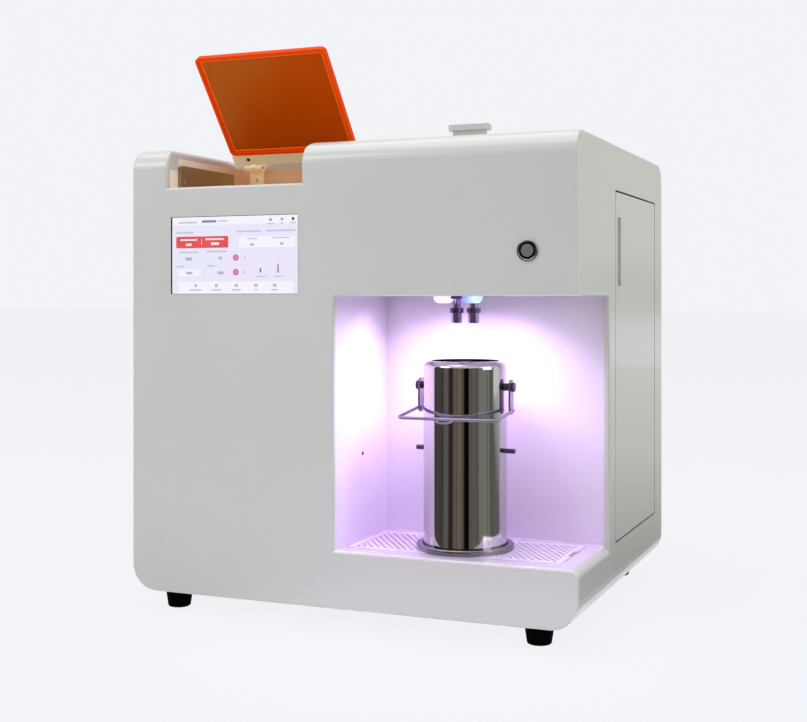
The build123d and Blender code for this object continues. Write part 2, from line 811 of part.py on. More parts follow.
with BuildPart() as nozzle_collars:
    for x in nozzle_xs:
        pin(facing(x, fill_y, collar_z, (0, 0, 1)), collar_radius, collar_height)
    for x in nozzle_xs:
        pin(facing(x, fill_y, collar_z, (0, 0, 1)), stem_radius, collar_height, mode=Mode.SUBTRACT)
        pin(facing(x, fill_y - stem_radius, collar_z + collar_height / 2, (0, -1, 0)), set_screw_radius,
            collar_radius, mode=Mode.SUBTRACT)

with BuildPart() as lamp_lenses:
    for x in lamp_xs:
        pin(facing(x, lamp_y, bay_top, (0, 0, -1)), lamp_radius, lamp_drop)
    fillet(edges().group_by(Axis.Z)[0], lamp_drop - 1)
    for x in lamp_xs:
        pin(facing(x, lamp_y, bay_top, (0, 0, 1)), lamp_neck_radius, lamp_neck_length)

with BuildPart() as lamp_board:
    block(grown((fill_x, fill_x), lamp_spacing / 2 - lamp_radius - touch_gap), grown((lamp_y, lamp_y), 9),
          (bay_top - lamp_board_height, bay_top))

with BuildPart() as nozzle_valves:
    for x in nozzle_xs:
        block(grown((x, x), valve_width / 2), grown((fill_y, fill_y), valve_depth / 2),
              (valve_z, valve_z + valve_height))
        pin(facing(x, fill_y, valve_z + valve_height, (0, 0, 1)), hose_bore - running_gap, spigot_reach)

# Lift-off cover
with BuildPart() as top_cover:
    rounded_frame(cover_xs, cover_ys, cover_corner_radius, top_z, cover_thickness)
    fillet(edges().group_by(Axis.Z)[-1], 1.0)
    rim_x = grown(cover_xs, -cover_lap - cover_rim_gap)
    rim_y = grown(cover_ys, -cover_lap - cover_rim_gap)
    rim_radius = cover_corner_radius - cover_lap / 2
    rounded_frame(rim_x, rim_y, rim_radius, top_z - cover_rim_depth, cover_rim_depth)
    rounded_frame(grown(rim_x, -cover_thickness), grown(rim_y, -cover_thickness),
                  rim_radius - cover_thickness, top_z - cover_rim_depth, cover_rim_depth, mode=Mode.SUBTRACT)
    grip_x = grown((fill_x, fill_x), grip_width / 2)
    grip_y = grown((cover_y, cover_y), grip_length / 2)
    grip_z = top_z + cover_thickness
    rounded_frame(grown(grip_x, -grip_neck_inset), grown(grip_y, -grip_neck_inset), 3.0, grip_z,
                  grip_height - grip_cap_height)
    rounded_frame(grip_x, grip_y, 5.0, grip_z + grip_height - grip_cap_height, grip_cap_height)
    fillet(edges().group_by(Axis.Z)[-1], 1.5)

# Service door with its pull and pivots
with BuildPart() as side_door:
    with BuildSketch(Plane.YZ.offset(inner_right)):
        with Locations((door_y, door_z)):
            RectangleRounded(door_width, door_height, door_corner_radius)
    extrude(amount=sheet)
    flange_x = (inner_right - door_flange, inner_right)
    flange_ys = (door_ys[0] + door_corner_radius, door_ys[1])
    block(flange_x, (door_ys[0], door_ys[0] + sheet), grown(door_zs, -door_corner_radius))
    block(flange_x, flange_ys, (door_zs[1] - sheet, door_zs[1]))
    block(flange_x, flange_ys, (door_zs[0], door_zs[0] + sheet))
    add_corner = door_corner_radius
    for z in (door_zs[0], door_zs[1]):
        with BuildSketch(Plane.YZ.offset(inner_right - door_flange)) as corner:
            with Locations((door_ys[1], z)):
                Rectangle(2 * add_corner, 2 * add_corner)
            inner_z = z + (add_corner if z == door_zs[0] else -add_corner)
            with Locations((door_ys[1] - add_corner, inner_z)):
                Circle(add_corner, mode=Mode.SUBTRACT)
                Rectangle(4 * add_corner, 2 * add_corner, mode=Mode.SUBTRACT,
                          align=(Align.CENTER, Align.MIN if z == door_zs[0] else Align.MAX))
            with Locations((door_ys[1] - add_corner, z)):
                Rectangle(4 * add_corner, 4 * add_corner, mode=Mode.SUBTRACT,
                          align=(Align.MAX, Align.CENTER))
        extrude(corner.sketch, amount=door_flange + sheet, mode=Mode.SUBTRACT)
    pull_y = (door_ys[0] + pull_margin, door_ys[0] + pull_margin + pull_width)
    with BuildSketch(Plane.XY.offset(pull_z - pull_height / 2 - pull_wall)) as cup:
        with BuildLine():
            Polyline((right, pull_y[0]), (right, pull_y[1]), (right - pull_depth, pull_y[1]), close=True)
        make_face()
        offset(amount=pull_wall, kind=Kind.INTERSECTION)
        with Locations((inner_right, sum(pull_y) / 2)):
            Rectangle(beyond, 2 * pull_width + beyond, align=(Align.MIN, Align.CENTER), mode=Mode.SUBTRACT)
    extrude(cup.sketch, amount=pull_height + 2 * pull_wall)
    with BuildSketch(Plane.XY.offset(pull_z - pull_height / 2)) as hollow_cup:
        with BuildLine():
            Polyline((right, pull_y[0]), (right, pull_y[1]), (right - pull_depth, pull_y[1]), close=True)
        make_face()
    extrude(hollow_cup.sketch, amount=pull_height, mode=Mode.SUBTRACT)
    pivot_x = right - pivot_inset_x
    pivot_y = door_ys[1] - pivot_inset_y
    for z, direction in ((door_zs[0], -1), (door_zs[1], 1)):
        pin(facing(pivot_x, pivot_y, z - direction * sheet, (0, 0, direction)), pivot_radius + running_gap,
            sheet, mode=Mode.SUBTRACT)

with BuildPart() as door_pivots:
    for z, direction in ((door_zs[0], -1), (door_zs[1], 1)):
        pin(facing(pivot_x, pivot_y, z - direction * sheet, (0, 0, direction)), pivot_radius,
            sheet + pivot_length)
        pin(facing(pivot_x, pivot_y, z - direction * sheet, (0, 0, -direction)), pivot_radius + 1.5, 1.5)

with BuildPart() as pivot_brackets:
    bracket_y = grown((pivot_y, pivot_y), bracket_width / 2)
    for z, direction in ((door_zs[0], -1), (door_zs[1], 1)):
        shelf = sorted((z + direction * door_gap, z + direction * (door_gap + sheet)))
        wall_z = sorted((z + direction * door_gap, z + direction * (door_gap + bracket_width)))
        block((pivot_x - 6, inner_right), bracket_y, shelf)
        block((inner_right - sheet, inner_right), bracket_y, wall_z)
        pin(facing(pivot_x, pivot_y, z, (0, 0, direction)), pivot_radius + running_gap, pivot_length + 1,
            mode=Mode.SUBTRACT)

# Pumps on their mounting plate
plate_face = pump_plate_x + pump_plate_thickness
leg_ys = (pump_y - pump_tube_circle, pump_y + pump_tube_circle)
tube_x = plate_face + housing_back + rotor_length / 2
pump_ends = [z - housing_size / 2 - 3 for z in pump_z]
suction_z = [z - suction_drop for z in pump_ends]
floor_z = bottom_z + sheet

with BuildPart() as mounting_plate:
    block((pump_plate_x, plate_face), (pump_plate_front, inner_rear), (floor_z, pump_plate_top))
    block((plate_face, plate_face + plate_flange),
          (pump_plate_front, pump_plate_front + pump_plate_thickness), (floor_z + 20, pump_plate_top))
    block((pump_plate_x - plate_flange, pump_plate_x), (pump_plate_front, rear - bend_radius),
          (floor_z, floor_z + pump_plate_thickness))
    for y in (board_y - board_width / 2 + 8, board_y + board_width / 2 - 8):
        for z in (board_z - board_height / 2 + 8, board_z + board_height / 2 - 8):
            pin(facing(plate_face, y, z, (1, 0, 0)), standoff_radius, standoff_height)
    for z, hose_z in zip(pump_z, suction_z):
        pin(facing(pump_plate_x, pump_y, z, (1, 0, 0)), shaft_radius + touch_gap, pump_plate_thickness,
            mode=Mode.SUBTRACT)
        pin(facing(pump_plate_x, leg_ys[0], hose_z, (1, 0, 0)), hose_radius + 1, pump_plate_thickness,
            mode=Mode.SUBTRACT)
    round_heel(sheet + touch_gap)

with BuildPart() as pump_motors:
    for z in pump_z:
        block((pump_plate_x - motor_length, pump_plate_x), grown((pump_y, pump_y), motor_size / 2),
              grown((z, z), motor_size / 2))
    chamfer(edges().filter_by(Axis.X), 4.0)
    for z in pump_z:
        pin(facing(pump_plate_x, pump_y, z, (-1, 0, 0)), shaft_radius + touch_gap, shaft_reach + 1,
            mode=Mode.SUBTRACT)

with BuildPart() as pump_housings:
    for z in pump_z:
        block((plate_face, plate_face + housing_depth), grown((pump_y, pump_y), housing_size / 2),
              grown((z, z), housing_size / 2))
    fillet(edges().filter_by(Axis.X), housing_radius)
    for z in pump_z:
        pin(facing(plate_face + housing_back, pump_y, z, (1, 0, 0)), cavity_radius, housing_depth,
            mode=Mode.SUBTRACT)
        pin(facing(plate_face, pump_y, z, (1, 0, 0)), shaft_radius + touch_gap, housing_back,
            mode=Mode.SUBTRACT)
        for y in leg_ys:
            block((tube_x - pump_tube_radius - touch_gap, plate_face + housing_depth),
                  grown((y, y), pump_tube_radius + touch_gap), (z - housing_size / 2, z), mode=Mode.SUBTRACT)


def tube_along(points, bend, radius, bore):
    """Round tube along a path of straight runs and bends, with its ends bored to bore for a length."""
    with BuildLine() as path:
        FilletPolyline(*points, radius=bend)
    start = Plane(origin=path.wire() @ 0, z_dir=path.wire() % 0)
    with BuildSketch(start) as section:
        Circle(radius)
    sweep(section.sketch, path=path.wire())
    for at in (0, 1):
        inward = path.wire() % at if at == 0 else -(path.wire() % at)
        pin(Plane(origin=path.wire() @ at, z_dir=inward), bore, spigot_reach, mode=Mode.SUBTRACT)


with BuildPart() as pump_tubes:
    for z, end_z in zip(pump_z, pump_ends):
        with BuildLine() as track:
            Line((tube_x, leg_ys[0], end_z), (tube_x, leg_ys[0], z))
            TangentArc((tube_x, leg_ys[0], z), (tube_x, leg_ys[1], z), tangent=(0, 0, 1))
            Line((tube_x, leg_ys[1], z), (tube_x, leg_ys[1], end_z))
        with BuildSketch(facing(tube_x, leg_ys[0], end_z, (0, 0, 1))) as section:
            Circle(pump_tube_radius)
            Circle(tube_bore, mode=Mode.SUBTRACT)
        sweep(section.sketch, path=track.wire())

rotor_x = plate_face + housing_back + 1
roller_places = [(roller_circle * cos(radians(90 + i * 120)), roller_circle * sin(radians(90 + i * 120)))
                 for i in range(roller_count)]


def rotor(z):
    """Hub, two plates, roller pins and motor shaft of one pump."""
    with BuildPart() as turning:
        pin(facing(rotor_x - housing_back - 1 - pump_plate_thickness - shaft_reach, pump_y, z, (1, 0, 0)),
            shaft_radius, shaft_reach + pump_plate_thickness + housing_back + 1)
        pin(facing(rotor_x, pump_y, z, (1, 0, 0)), hub_radius, rotor_length)
        pin(facing(rotor_x, pump_y, z, (1, 0, 0)), rotor_radius, rotor_plate)
        pin(facing(rotor_x + rotor_length - rotor_plate, pump_y, z, (1, 0, 0)), rotor_radius, rotor_plate)
        for dy, dz in roller_places:
            pin(facing(rotor_x, pump_y + dy, z + dz, (1, 0, 0)), roller_pin_radius, rotor_length)
    return turning


def rollers(z):
    """The rollers of one pump, bored for their pins."""
    with BuildPart() as rolling:
        length = rotor_length - 2 * rotor_plate - 2 * touch_gap
        for dy, dz in roller_places:
            start_x = rotor_x + rotor_plate + touch_gap
            pin(facing(start_x, pump_y + dy, z + dz, (1, 0, 0)), roller_radius, length)
        for dy, dz in roller_places:
            pin(facing(rotor_x + rotor_plate + touch_gap, pump_y + dy, z + dz, (1, 0, 0)),
                roller_pin_radius + running_gap, length, mode=Mode.SUBTRACT)
    return rolling


pump_rotor_a = rotor(pump_z[0])
pump_rollers_a = rollers(pump_z[0])
pump_rotor_b = rotor(pump_z[1])
pump_rollers_b = rollers(pump_z[1])

# Hoses
with BuildPart() as suction_hoses:
    for x, z, end_z in zip(suction_x, suction_z, pump_ends):
        tube_along([(tube_x, leg_ys[0], end_z), (tube_x, leg_ys[0], z), (x, leg_ys[0], z), (x, spigot_y, z),
                    (x, spigot_y, tank_bottom - spigot_length)], hose_bend, hose_radius, hose_bore)

hose_top = valve_z + valve_height
with BuildPart() as dispense_hoses:
    for x, z, end_x, end_z in zip(dispense_x, dispense_z, reversed(nozzle_xs), pump_ends):
        tube_along([(tube_x, leg_ys[1], end_z), (tube_x, leg_ys[1], end_z - hose_bend - 4),
                    (x, leg_ys[1], end_z - hose_bend - 4), (x, leg_ys[1], z), (x, fill_y, z),
                    (end_x, fill_y, z), (end_x, fill_y, hose_top)], hose_bend, hose_radius, hose_bore)

# Electrics
with BuildPart() as control_board:
    board_x = plate_face + standoff_height
    block((board_x, board_x + board_thickness), grown((board_y, board_y), board_width / 2),
          grown((board_z, board_z), board_height / 2))
    chip_x = board_x + board_thickness
    block((chip_x, chip_x + 14), (board_y - 20, board_y + 14), (board_z - 18, board_z + 16))
    block((chip_x, chip_x + 12), (board_y - 70, board_y - 30), (board_z - 50, board_z - 38))
    block((chip_x, chip_x + 12), (board_y + 28, board_y + 68), (board_z - 50, board_z - 38))
    block((chip_x, chip_x + 9), (board_y - 68, board_y - 44), (board_z + 2, board_z + 26))
    for y in (board_y + 36, board_y + 54):
        pin(facing(chip_x, y, board_z + 12, (1, 0, 0)), 6.0, 16)

with BuildPart() as power_supply:
    block(grown((supply_x, supply_x), supply_width / 2), grown((supply_y, supply_y), supply_length / 2),
          (floor_z, floor_z + supply_height))
    block(grown((supply_x, supply_x), supply_width / 2 - 20),
          (supply_y + supply_length / 2, supply_y + supply_length / 2 + 14), (floor_z, floor_z + 16))

# Rear: sunk service recess with inlet, switch and hose barbs
recess_xs = grown((recess_x, recess_x), recess_width / 2)
recess_zs = grown((recess_z, recess_z), recess_height / 2)
recess_floor = inner_rear - recess_depth

with BuildPart() as service_recess:
    block(grown(recess_xs, recess_flange), (inner_rear - 2, inner_rear), grown(recess_zs, recess_flange))
    block(grown(recess_xs, 2), (recess_floor - 2, inner_rear), grown(recess_zs, 2))
    block(recess_xs, (recess_floor, inner_rear), recess_zs, mode=Mode.SUBTRACT)
    block(grown((inlet_x, inlet_x), inlet_width / 2 - 3), (recess_floor - 2, recess_floor),
          grown((inlet_z, inlet_z), inlet_height / 2 - 3), mode=Mode.SUBTRACT)
    block(grown((switch_x, switch_x), switch_width / 2 - 2), (recess_floor - 2, recess_floor),
          grown((switch_z, switch_z), switch_height / 2 - 1), mode=Mode.SUBTRACT)
    for x in barb_x:
        pin(facing(x, recess_floor - 2, barb_z, (0, 1, 0)), barb_radius + running_gap, 2,
            mode=Mode.SUBTRACT)

with BuildPart() as power_inlet:
    block(grown((inlet_x, inlet_x), inlet_width / 2), (recess_floor, recess_floor + inlet_proud),
          grown((inlet_z, inlet_z), inlet_height / 2))
    fillet(edges().filter_by(Axis.Y), 3.0)
    block(grown((inlet_x, inlet_x), inlet_width / 2 - 3), (recess_floor - 20, recess_floor),
          grown((inlet_z, inlet_z), inlet_height / 2 - 3))
    block(grown((inlet_x, inlet_x), 12.5), (recess_floor - 15, recess_floor + inlet_proud),
          grown((inlet_z, inlet_z), 8.5), mode=Mode.SUBTRACT)
    for x in (inlet_x - 7, inlet_x, inlet_x + 7):
        block(grown((x, x), 1.0), (recess_floor - 15, recess_floor - 2), grown((inlet_z, inlet_z), 2.0))

pivot_depth = recess_floor + switch_proud - 5.5
with BuildPart() as power_switch:
    block(grown((switch_x, switch_x), switch_width / 2), (recess_floor, recess_floor + switch_proud),
          grown((switch_z, switch_z), switch_height / 2 + 2))
    block(grown((switch_x, switch_x), switch_width / 2 - 2), (recess_floor - 18, recess_floor),
          grown((switch_z, switch_z), switch_height / 2 - 1))
    block(grown((switch_x, switch_x), rocker_width / 2 + rocker_gap),
          (pivot_depth - 8, recess_floor + switch_proud),
          grown((switch_z, switch_z), rocker_radius + rocker_gap), mode=Mode.SUBTRACT)
    pin(facing(switch_x - rocker_width / 2 - 2, pivot_depth, switch_z, (1, 0, 0)), rocker_pin + running_gap,
        rocker_width + 4, mode=Mode.SUBTRACT)

with BuildPart() as rocker:
    rocker_plane = Plane(origin=(switch_x, pivot_depth, switch_z), z_dir=(1, 0, 0),
                         x_dir=(0, cos(radians(rocker_angle)), -sin(radians(rocker_angle))))
    with BuildSketch(rocker_plane):
        Circle(rocker_radius)
        with Locations((-3, 0)):
            Rectangle(2 * rocker_radius, 3 * rocker_radius, align=(Align.MAX, Align.CENTER),
                      mode=Mode.SUBTRACT)
        with BuildLine():
            Polyline((5.5, 0), (8.4, 10), (8.4, 20), (20, 20), (20, -20), (8.4, -20), (8.4, -10), close=True)
        make_face(mode=Mode.SUBTRACT)
    extrude(amount=rocker_width / 2, both=True)
    pin(facing(switch_x - rocker_width / 2 - 2, pivot_depth, switch_z, (1, 0, 0)), rocker_pin,
        rocker_width + 4)

with BuildPart() as hose_barbs:
    for x in barb_x:
        pin(facing(x, recess_floor - 12, barb_z, (0, 1, 0)), barb_radius, 12)
        pin(facing(x, recess_floor, barb_z, (0, 1, 0)), barb_radius + 3, 3)
        for i in range(3):
            with Locations(Plane(origin=(x, recess_floor + 3 + 5 * i, barb_z), z_dir=(0, 1, 0))):
                Cone(barb_radius, barb_radius - 1, 5, align=(Align.CENTER, Align.CENTER, Align.MIN))
    for x in barb_x:
        pin(facing(x, recess_floor - 12, barb_z, (0, 1, 0)), 2.2, 30, mode=Mode.SUBTRACT)

# Screws of the rear panel and of the well's side plates
with BuildPart() as casing_screws:
    for x, z in rear_screw_places:
        pin(facing(x, rear, z, (0, 1, 0)), casing_screw_radius, casing_screw_head)
    fillet(edges().group_by(Axis.Y)[-1], 0.8)
    for x, z in rear_screw_places:
        pin(facing(x, rear, z, (0, -1, 0)), screw_shank_radius, screw_shank_length)
    for x, facing_x in ((well_left + plate_thickness, 1), (well_right - plate_thickness, -1)):
        for y in (plate_y[0] + 6, plate_y[1] - 10):
            pin(facing(x, y, well_z + 9, (facing_x, 0, 0)), screw_radius, screw_head)

with BuildPart() as rubber_feet:
    for x in foot_xs:
        for y in foot_ys:
            with Locations((x, y, 0)):
                Cone(foot_bottom_radius, foot_top_radius, foot_height,
                     align=(Align.CENTER, Align.CENTER, Align.MIN))
    fillet(edges().group_by(Axis.Z)[0], foot_edge_radius)

# Canister on its ring, with two arms and a bail
with BuildPart() as canister_ring:
    pin(facing(fill_x, fill_y, grid_z, (0, 0, 1)), ring_radius, ring_height)
    fillet(edges().group_by(Axis.Z)[-1], 1.5)
    pin(facing(fill_x, fill_y, grid_z + ring_lip, (0, 0, 1)), can_radius + ring_gap, ring_height,
        mode=Mode.SUBTRACT)
    pin(facing(fill_x, fill_y, grid_z, (0, 0, 1)), ring_lip_radius, ring_height, mode=Mode.SUBTRACT)

can_z = grid_z + ring_lip
with BuildPart() as can_cavity:
    pin(facing(fill_x, fill_y, can_z + can_wall, (0, 0, 1)), can_radius - can_wall,
        can_height - 2 * can_wall)
    fillet(edges().group_by(Axis.Z)[-1], can_shoulder_radius - can_wall)
    fillet(edges().group_by(Axis.Z)[0], can_floor_radius - can_wall)

with BuildPart() as canister_body:
    pin(facing(fill_x, fill_y, can_z, (0, 0, 1)), can_radius, can_height)
    fillet(edges().group_by(Axis.Z)[-1], can_shoulder_radius)
    fillet(edges().group_by(Axis.Z)[0], can_floor_radius)
    add(can_cavity.part, mode=Mode.SUBTRACT)
    pin(facing(fill_x, fill_y, can_z + can_height / 2, (0, 0, 1)), can_mouth_radius, can_height,
        mode=Mode.SUBTRACT)

stud_height = grid_z + stud_z
with BuildPart() as canister_studs:
    for side in (-1, 1):
        outward = (side, 0, 0)
        pin(facing(fill_x + side * (can_radius - 1), fill_y, stud_height, outward), stud_radius,
            arm_gap + 1 + arm_thickness + touch_gap)
        pin(facing(fill_x + side * (can_radius + arm_gap + arm_thickness + touch_gap), fill_y, stud_height,
                   outward), stud_head_radius, stud_head)
        pin(facing(fill_x + side * (can_radius - 1), fill_y, grid_z + pin_z, outward), pin_radius,
            pin_length + 1)
    pin(facing(fill_x, fill_y, grid_z, (0, 0, 1)), can_radius, 2 * can_height, mode=Mode.SUBTRACT)

eye_height = stud_height - arm_drop
with BuildPart() as canister_arms:
    for side in (-1, 1):
        face_x = fill_x + side * (can_radius + arm_gap)
        low_x = min(face_x, face_x + side * arm_thickness)
        with BuildSketch(Plane.YZ.offset(low_x)):
            with Locations((fill_y, stud_height + (arm_above - arm_drop - arm_width / 2) / 2)):
                RectangleRounded(arm_width + 3, arm_above + arm_drop + arm_width / 2, arm_width / 2 - 0.1)
            with Locations((fill_y, stud_height)):
                Circle(stud_radius + running_gap, mode=Mode.SUBTRACT)
            with Locations((fill_y, eye_height)):
                Circle(wire_radius + running_gap, mode=Mode.SUBTRACT)
        extrude(amount=arm_thickness)

bail_x = can_radius + arm_gap + arm_thickness + wire_gap + wire_radius
with BuildPart() as bail:
    bail_plane = Plane(origin=(fill_x, fill_y, eye_height), x_dir=(1, 0, 0),
                       z_dir=(0, -sin(radians(bail_angle)), cos(radians(bail_angle))))
    eye_end = can_radius + arm_gap - 1
    half_reach = -bail_reach / 2
    with BuildLine(bail_plane) as wire_path:
        FilletPolyline((-eye_end, 0), (-bail_x, 0), (-bail_x, half_reach), radius=eye_bend_radius)
        FilletPolyline((-bail_x, half_reach), (-bail_x, -bail_reach), (bail_x, -bail_reach),
                       (bail_x, half_reach), radius=bail_corner_radius)
        FilletPolyline((bail_x, half_reach), (bail_x, 0), (eye_end, 0), radius=eye_bend_radius)
    with BuildSketch(Plane(origin=wire_path.wire() @ 0, z_dir=wire_path.wire() % 0)):
        Circle(wire_radius)
    sweep(path=wire_path.wire())

sub_parts = {
    "front_panel": front_panel, "top_panel": top_panel, "lid_well": lid_well,
    "left_side_panel": left_side_panel,
    "right_side_panel": right_side_panel, "rear_panel": rear_panel, "base_pan": base_pan,
    "rubber_feet": rubber_feet, "bay_side_wall": bay_side_wall, "bay_back_wall": bay_back_wall,
    "bay_ceiling": bay_ceiling, "bay_deck": bay_deck, "drip_tray": drip_tray, "drip_grid": drip_grid,
    "tank": tank, "level_sensor": level_sensor, "well_side_plates": well_side_plates,
    "hinge_brackets": hinge_brackets, "hinge_pins": hinge_pins,
    "hinge_plate": hinge_plate, "lid": lid, "display_glass": display_glass,
    "display_module": display_module, "display_board": display_board, "button_bezel": button_bezel,
    "button_nut": button_nut, "button_cap": button_cap, "nozzle_block": nozzle_block,
    "nozzle_tubes": nozzle_tubes, "nozzle_collars": nozzle_collars, "lamp_lenses": lamp_lenses,
    "lamp_board": lamp_board, "nozzle_valves": nozzle_valves, "top_cover": top_cover,
    "side_door": side_door, "door_pivots": door_pivots, "pivot_brackets": pivot_brackets,
    "mounting_plate": mounting_plate, "pump_motors": pump_motors, "pump_housings": pump_housings,
    "pump_tubes": pump_tubes, "pump_rotor_a": pump_rotor_a, "pump_rollers_a": pump_rollers_a,
    "pump_rotor_b": pump_rotor_b, "pump_rollers_b": pump_rollers_b, "suction_hoses": suction_hoses,
    "dispense_hoses": dispense_hoses, "control_board": control_board, "power_supply": power_supply,
    "service_recess": service_recess, "power_inlet": power_inlet, "power_switch": power_switch,
    "rocker": rocker, "hose_barbs": hose_barbs, "casing_screws": casing_screws,
    "canister_body": canister_body, "canister_ring": canister_ring, "canister_studs": canister_studs,
    "canister_arms": canister_arms, "bail": bail,
}

os.makedirs("parts", exist_ok=True)
for name, sub_part in sub_parts.items():
    sub_part.part.label = name
    export_step(sub_part.part, "parts/" + name + ".step")
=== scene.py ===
"""Bench-top liquid filling machine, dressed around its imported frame.

The cabinet, bay, lid, pumps and canister come from the frame. This script gives each of them its finish, adds
the pieces that are too fine for the frame, and sets up the camera and the studio. Lengths are metres, with X
right, Y back and Z up.
"""
from __future__ import annotations

import json
import logging
import math
from dataclasses import dataclass
from enum import Enum

import bpy
import numpy as np
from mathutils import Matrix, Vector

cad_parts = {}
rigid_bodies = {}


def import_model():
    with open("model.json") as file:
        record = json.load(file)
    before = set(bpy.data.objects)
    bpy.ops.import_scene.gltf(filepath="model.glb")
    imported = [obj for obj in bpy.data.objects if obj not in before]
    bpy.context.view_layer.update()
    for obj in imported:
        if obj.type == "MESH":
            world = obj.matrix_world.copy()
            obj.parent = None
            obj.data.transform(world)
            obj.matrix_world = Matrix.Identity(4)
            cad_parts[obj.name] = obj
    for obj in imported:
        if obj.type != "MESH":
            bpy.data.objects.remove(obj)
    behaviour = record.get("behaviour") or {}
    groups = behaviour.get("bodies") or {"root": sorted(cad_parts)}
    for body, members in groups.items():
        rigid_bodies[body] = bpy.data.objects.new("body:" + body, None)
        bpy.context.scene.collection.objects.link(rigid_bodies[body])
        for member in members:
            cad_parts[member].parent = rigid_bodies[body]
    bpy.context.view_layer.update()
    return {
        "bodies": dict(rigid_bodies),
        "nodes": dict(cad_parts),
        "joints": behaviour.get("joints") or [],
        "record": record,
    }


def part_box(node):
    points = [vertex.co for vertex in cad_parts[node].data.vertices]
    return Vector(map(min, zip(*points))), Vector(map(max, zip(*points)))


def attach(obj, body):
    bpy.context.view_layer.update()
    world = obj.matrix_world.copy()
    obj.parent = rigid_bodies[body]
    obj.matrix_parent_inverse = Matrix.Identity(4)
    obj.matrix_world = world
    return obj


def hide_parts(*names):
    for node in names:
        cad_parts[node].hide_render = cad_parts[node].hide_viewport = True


LOG = logging.getLogger("filling_machine")
MM = 0.001
PANEL_FACE = -210.0 * MM
LID_HINGE = (-52.0 * MM, 511.0 * MM)
LID_OPENED = math.radians(50.0)


class Body(Enum):
    """Rigid bodies of the machine that new pieces ride on."""

    CABINET = "cabinet"
    LID = "lid"
    GRID = "drip_grid"
    BAIL = "bail"


class Grain(Enum):
    """Axis that a brushed finish runs along: its noise is drawn out fifty times that way."""

    Y = (1.0, 0.02, 1.0)
    Z = (1.0, 1.0, 0.02)


def linear(code: str) -> tuple[float, float, float, float]:
    """Turns an sRGB hex colour into linear values.

    Args:
        code: Colour as "#RRGGBB".

    Returns:
        Linear red, green, blue and an alpha of 1.
    """
    values = np.array([int(code[i:i + 2], 16) for i in (1, 3, 5)]) / 255.0
    low, high = values / 12.92, ((values + 0.055) / 1.055) ** 2.4
    return (*np.where(values <= 0.04045, low, high).tolist(), 1.0)


def add_node(tree: bpy.types.NodeTree, kind: str, settings: dict | None = None,
             inputs: dict | None = None) -> bpy.types.Node:
    """Adds one shader node.

    Args:
        tree: Node tree to add to.
        kind: Blender's identifier of the node.
        settings: Node properties by name.
        inputs: Values, or the sockets to link, by input name or number.

    Returns:
        The new node.
    """
    node = tree.nodes.new(kind)
    for name, value in (settings or {}).items():
        setattr(node, name, value)
    for name, value in (inputs or {}).items():
        if isinstance(value, bpy.types.NodeSocket):
            tree.links.new(value, node.inputs[name])
        else:
            node.inputs[name].default_value = value
    return node


def bare_material(name: str) -> tuple[bpy.types.Material, bpy.types.NodeTree]:
    """Makes a material with no nodes yet.

    Args:
        name: Name of the material.

    Returns:
        The material and its node tree.
    """
    material = bpy.data.materials.new(name)
    material.use_nodes = True
    material.node_tree.nodes.clear()
    return material, material.node_tree


def placed(name: str, data: bpy.types.ID) -> bpy.types.Object:
    """Makes an object of a mesh, a light or a camera and puts it in the scene.

    Args:
        name: Name of the object.
        data: What it shows.

    Returns:
        The new object.
    """
    thing = bpy.data.objects.new(name, data)
    bpy.context.scene.collection.objects.link(thing)
    return thing


def area_lamp(name: str, shape: str, size: tuple[float, float], power: float) -> bpy.types.Object:
    """Makes a lamp that shines from a flat area.

    Args:
        name: Name of the lamp.
        shape: "ELLIPSE" or "RECTANGLE".
        size: Width and height of the area.
        power: Watts.

    Returns:
        The lamp, facing straight down at the origin.
    """
    light = bpy.data.lights.new(name, "AREA")
    light.shape = shape
    light.size, light.size_y = size
    light.energy = power
    return placed(name, light)


def ramp_stops(node: bpy.types.Node, stops: list[tuple[float, tuple]]) -> None:
    """Sets a colour ramp's stops.

    Args:
        node: The ColorRamp node.
        stops: Position and linear colour of each stop, in rising order.
    """
    elements = node.color_ramp.elements
    while len(elements) < len(stops):
        elements.new(1.0)
    for element, (place, colour) in zip(elements, stops):
        element.position = place
        element.color = colour


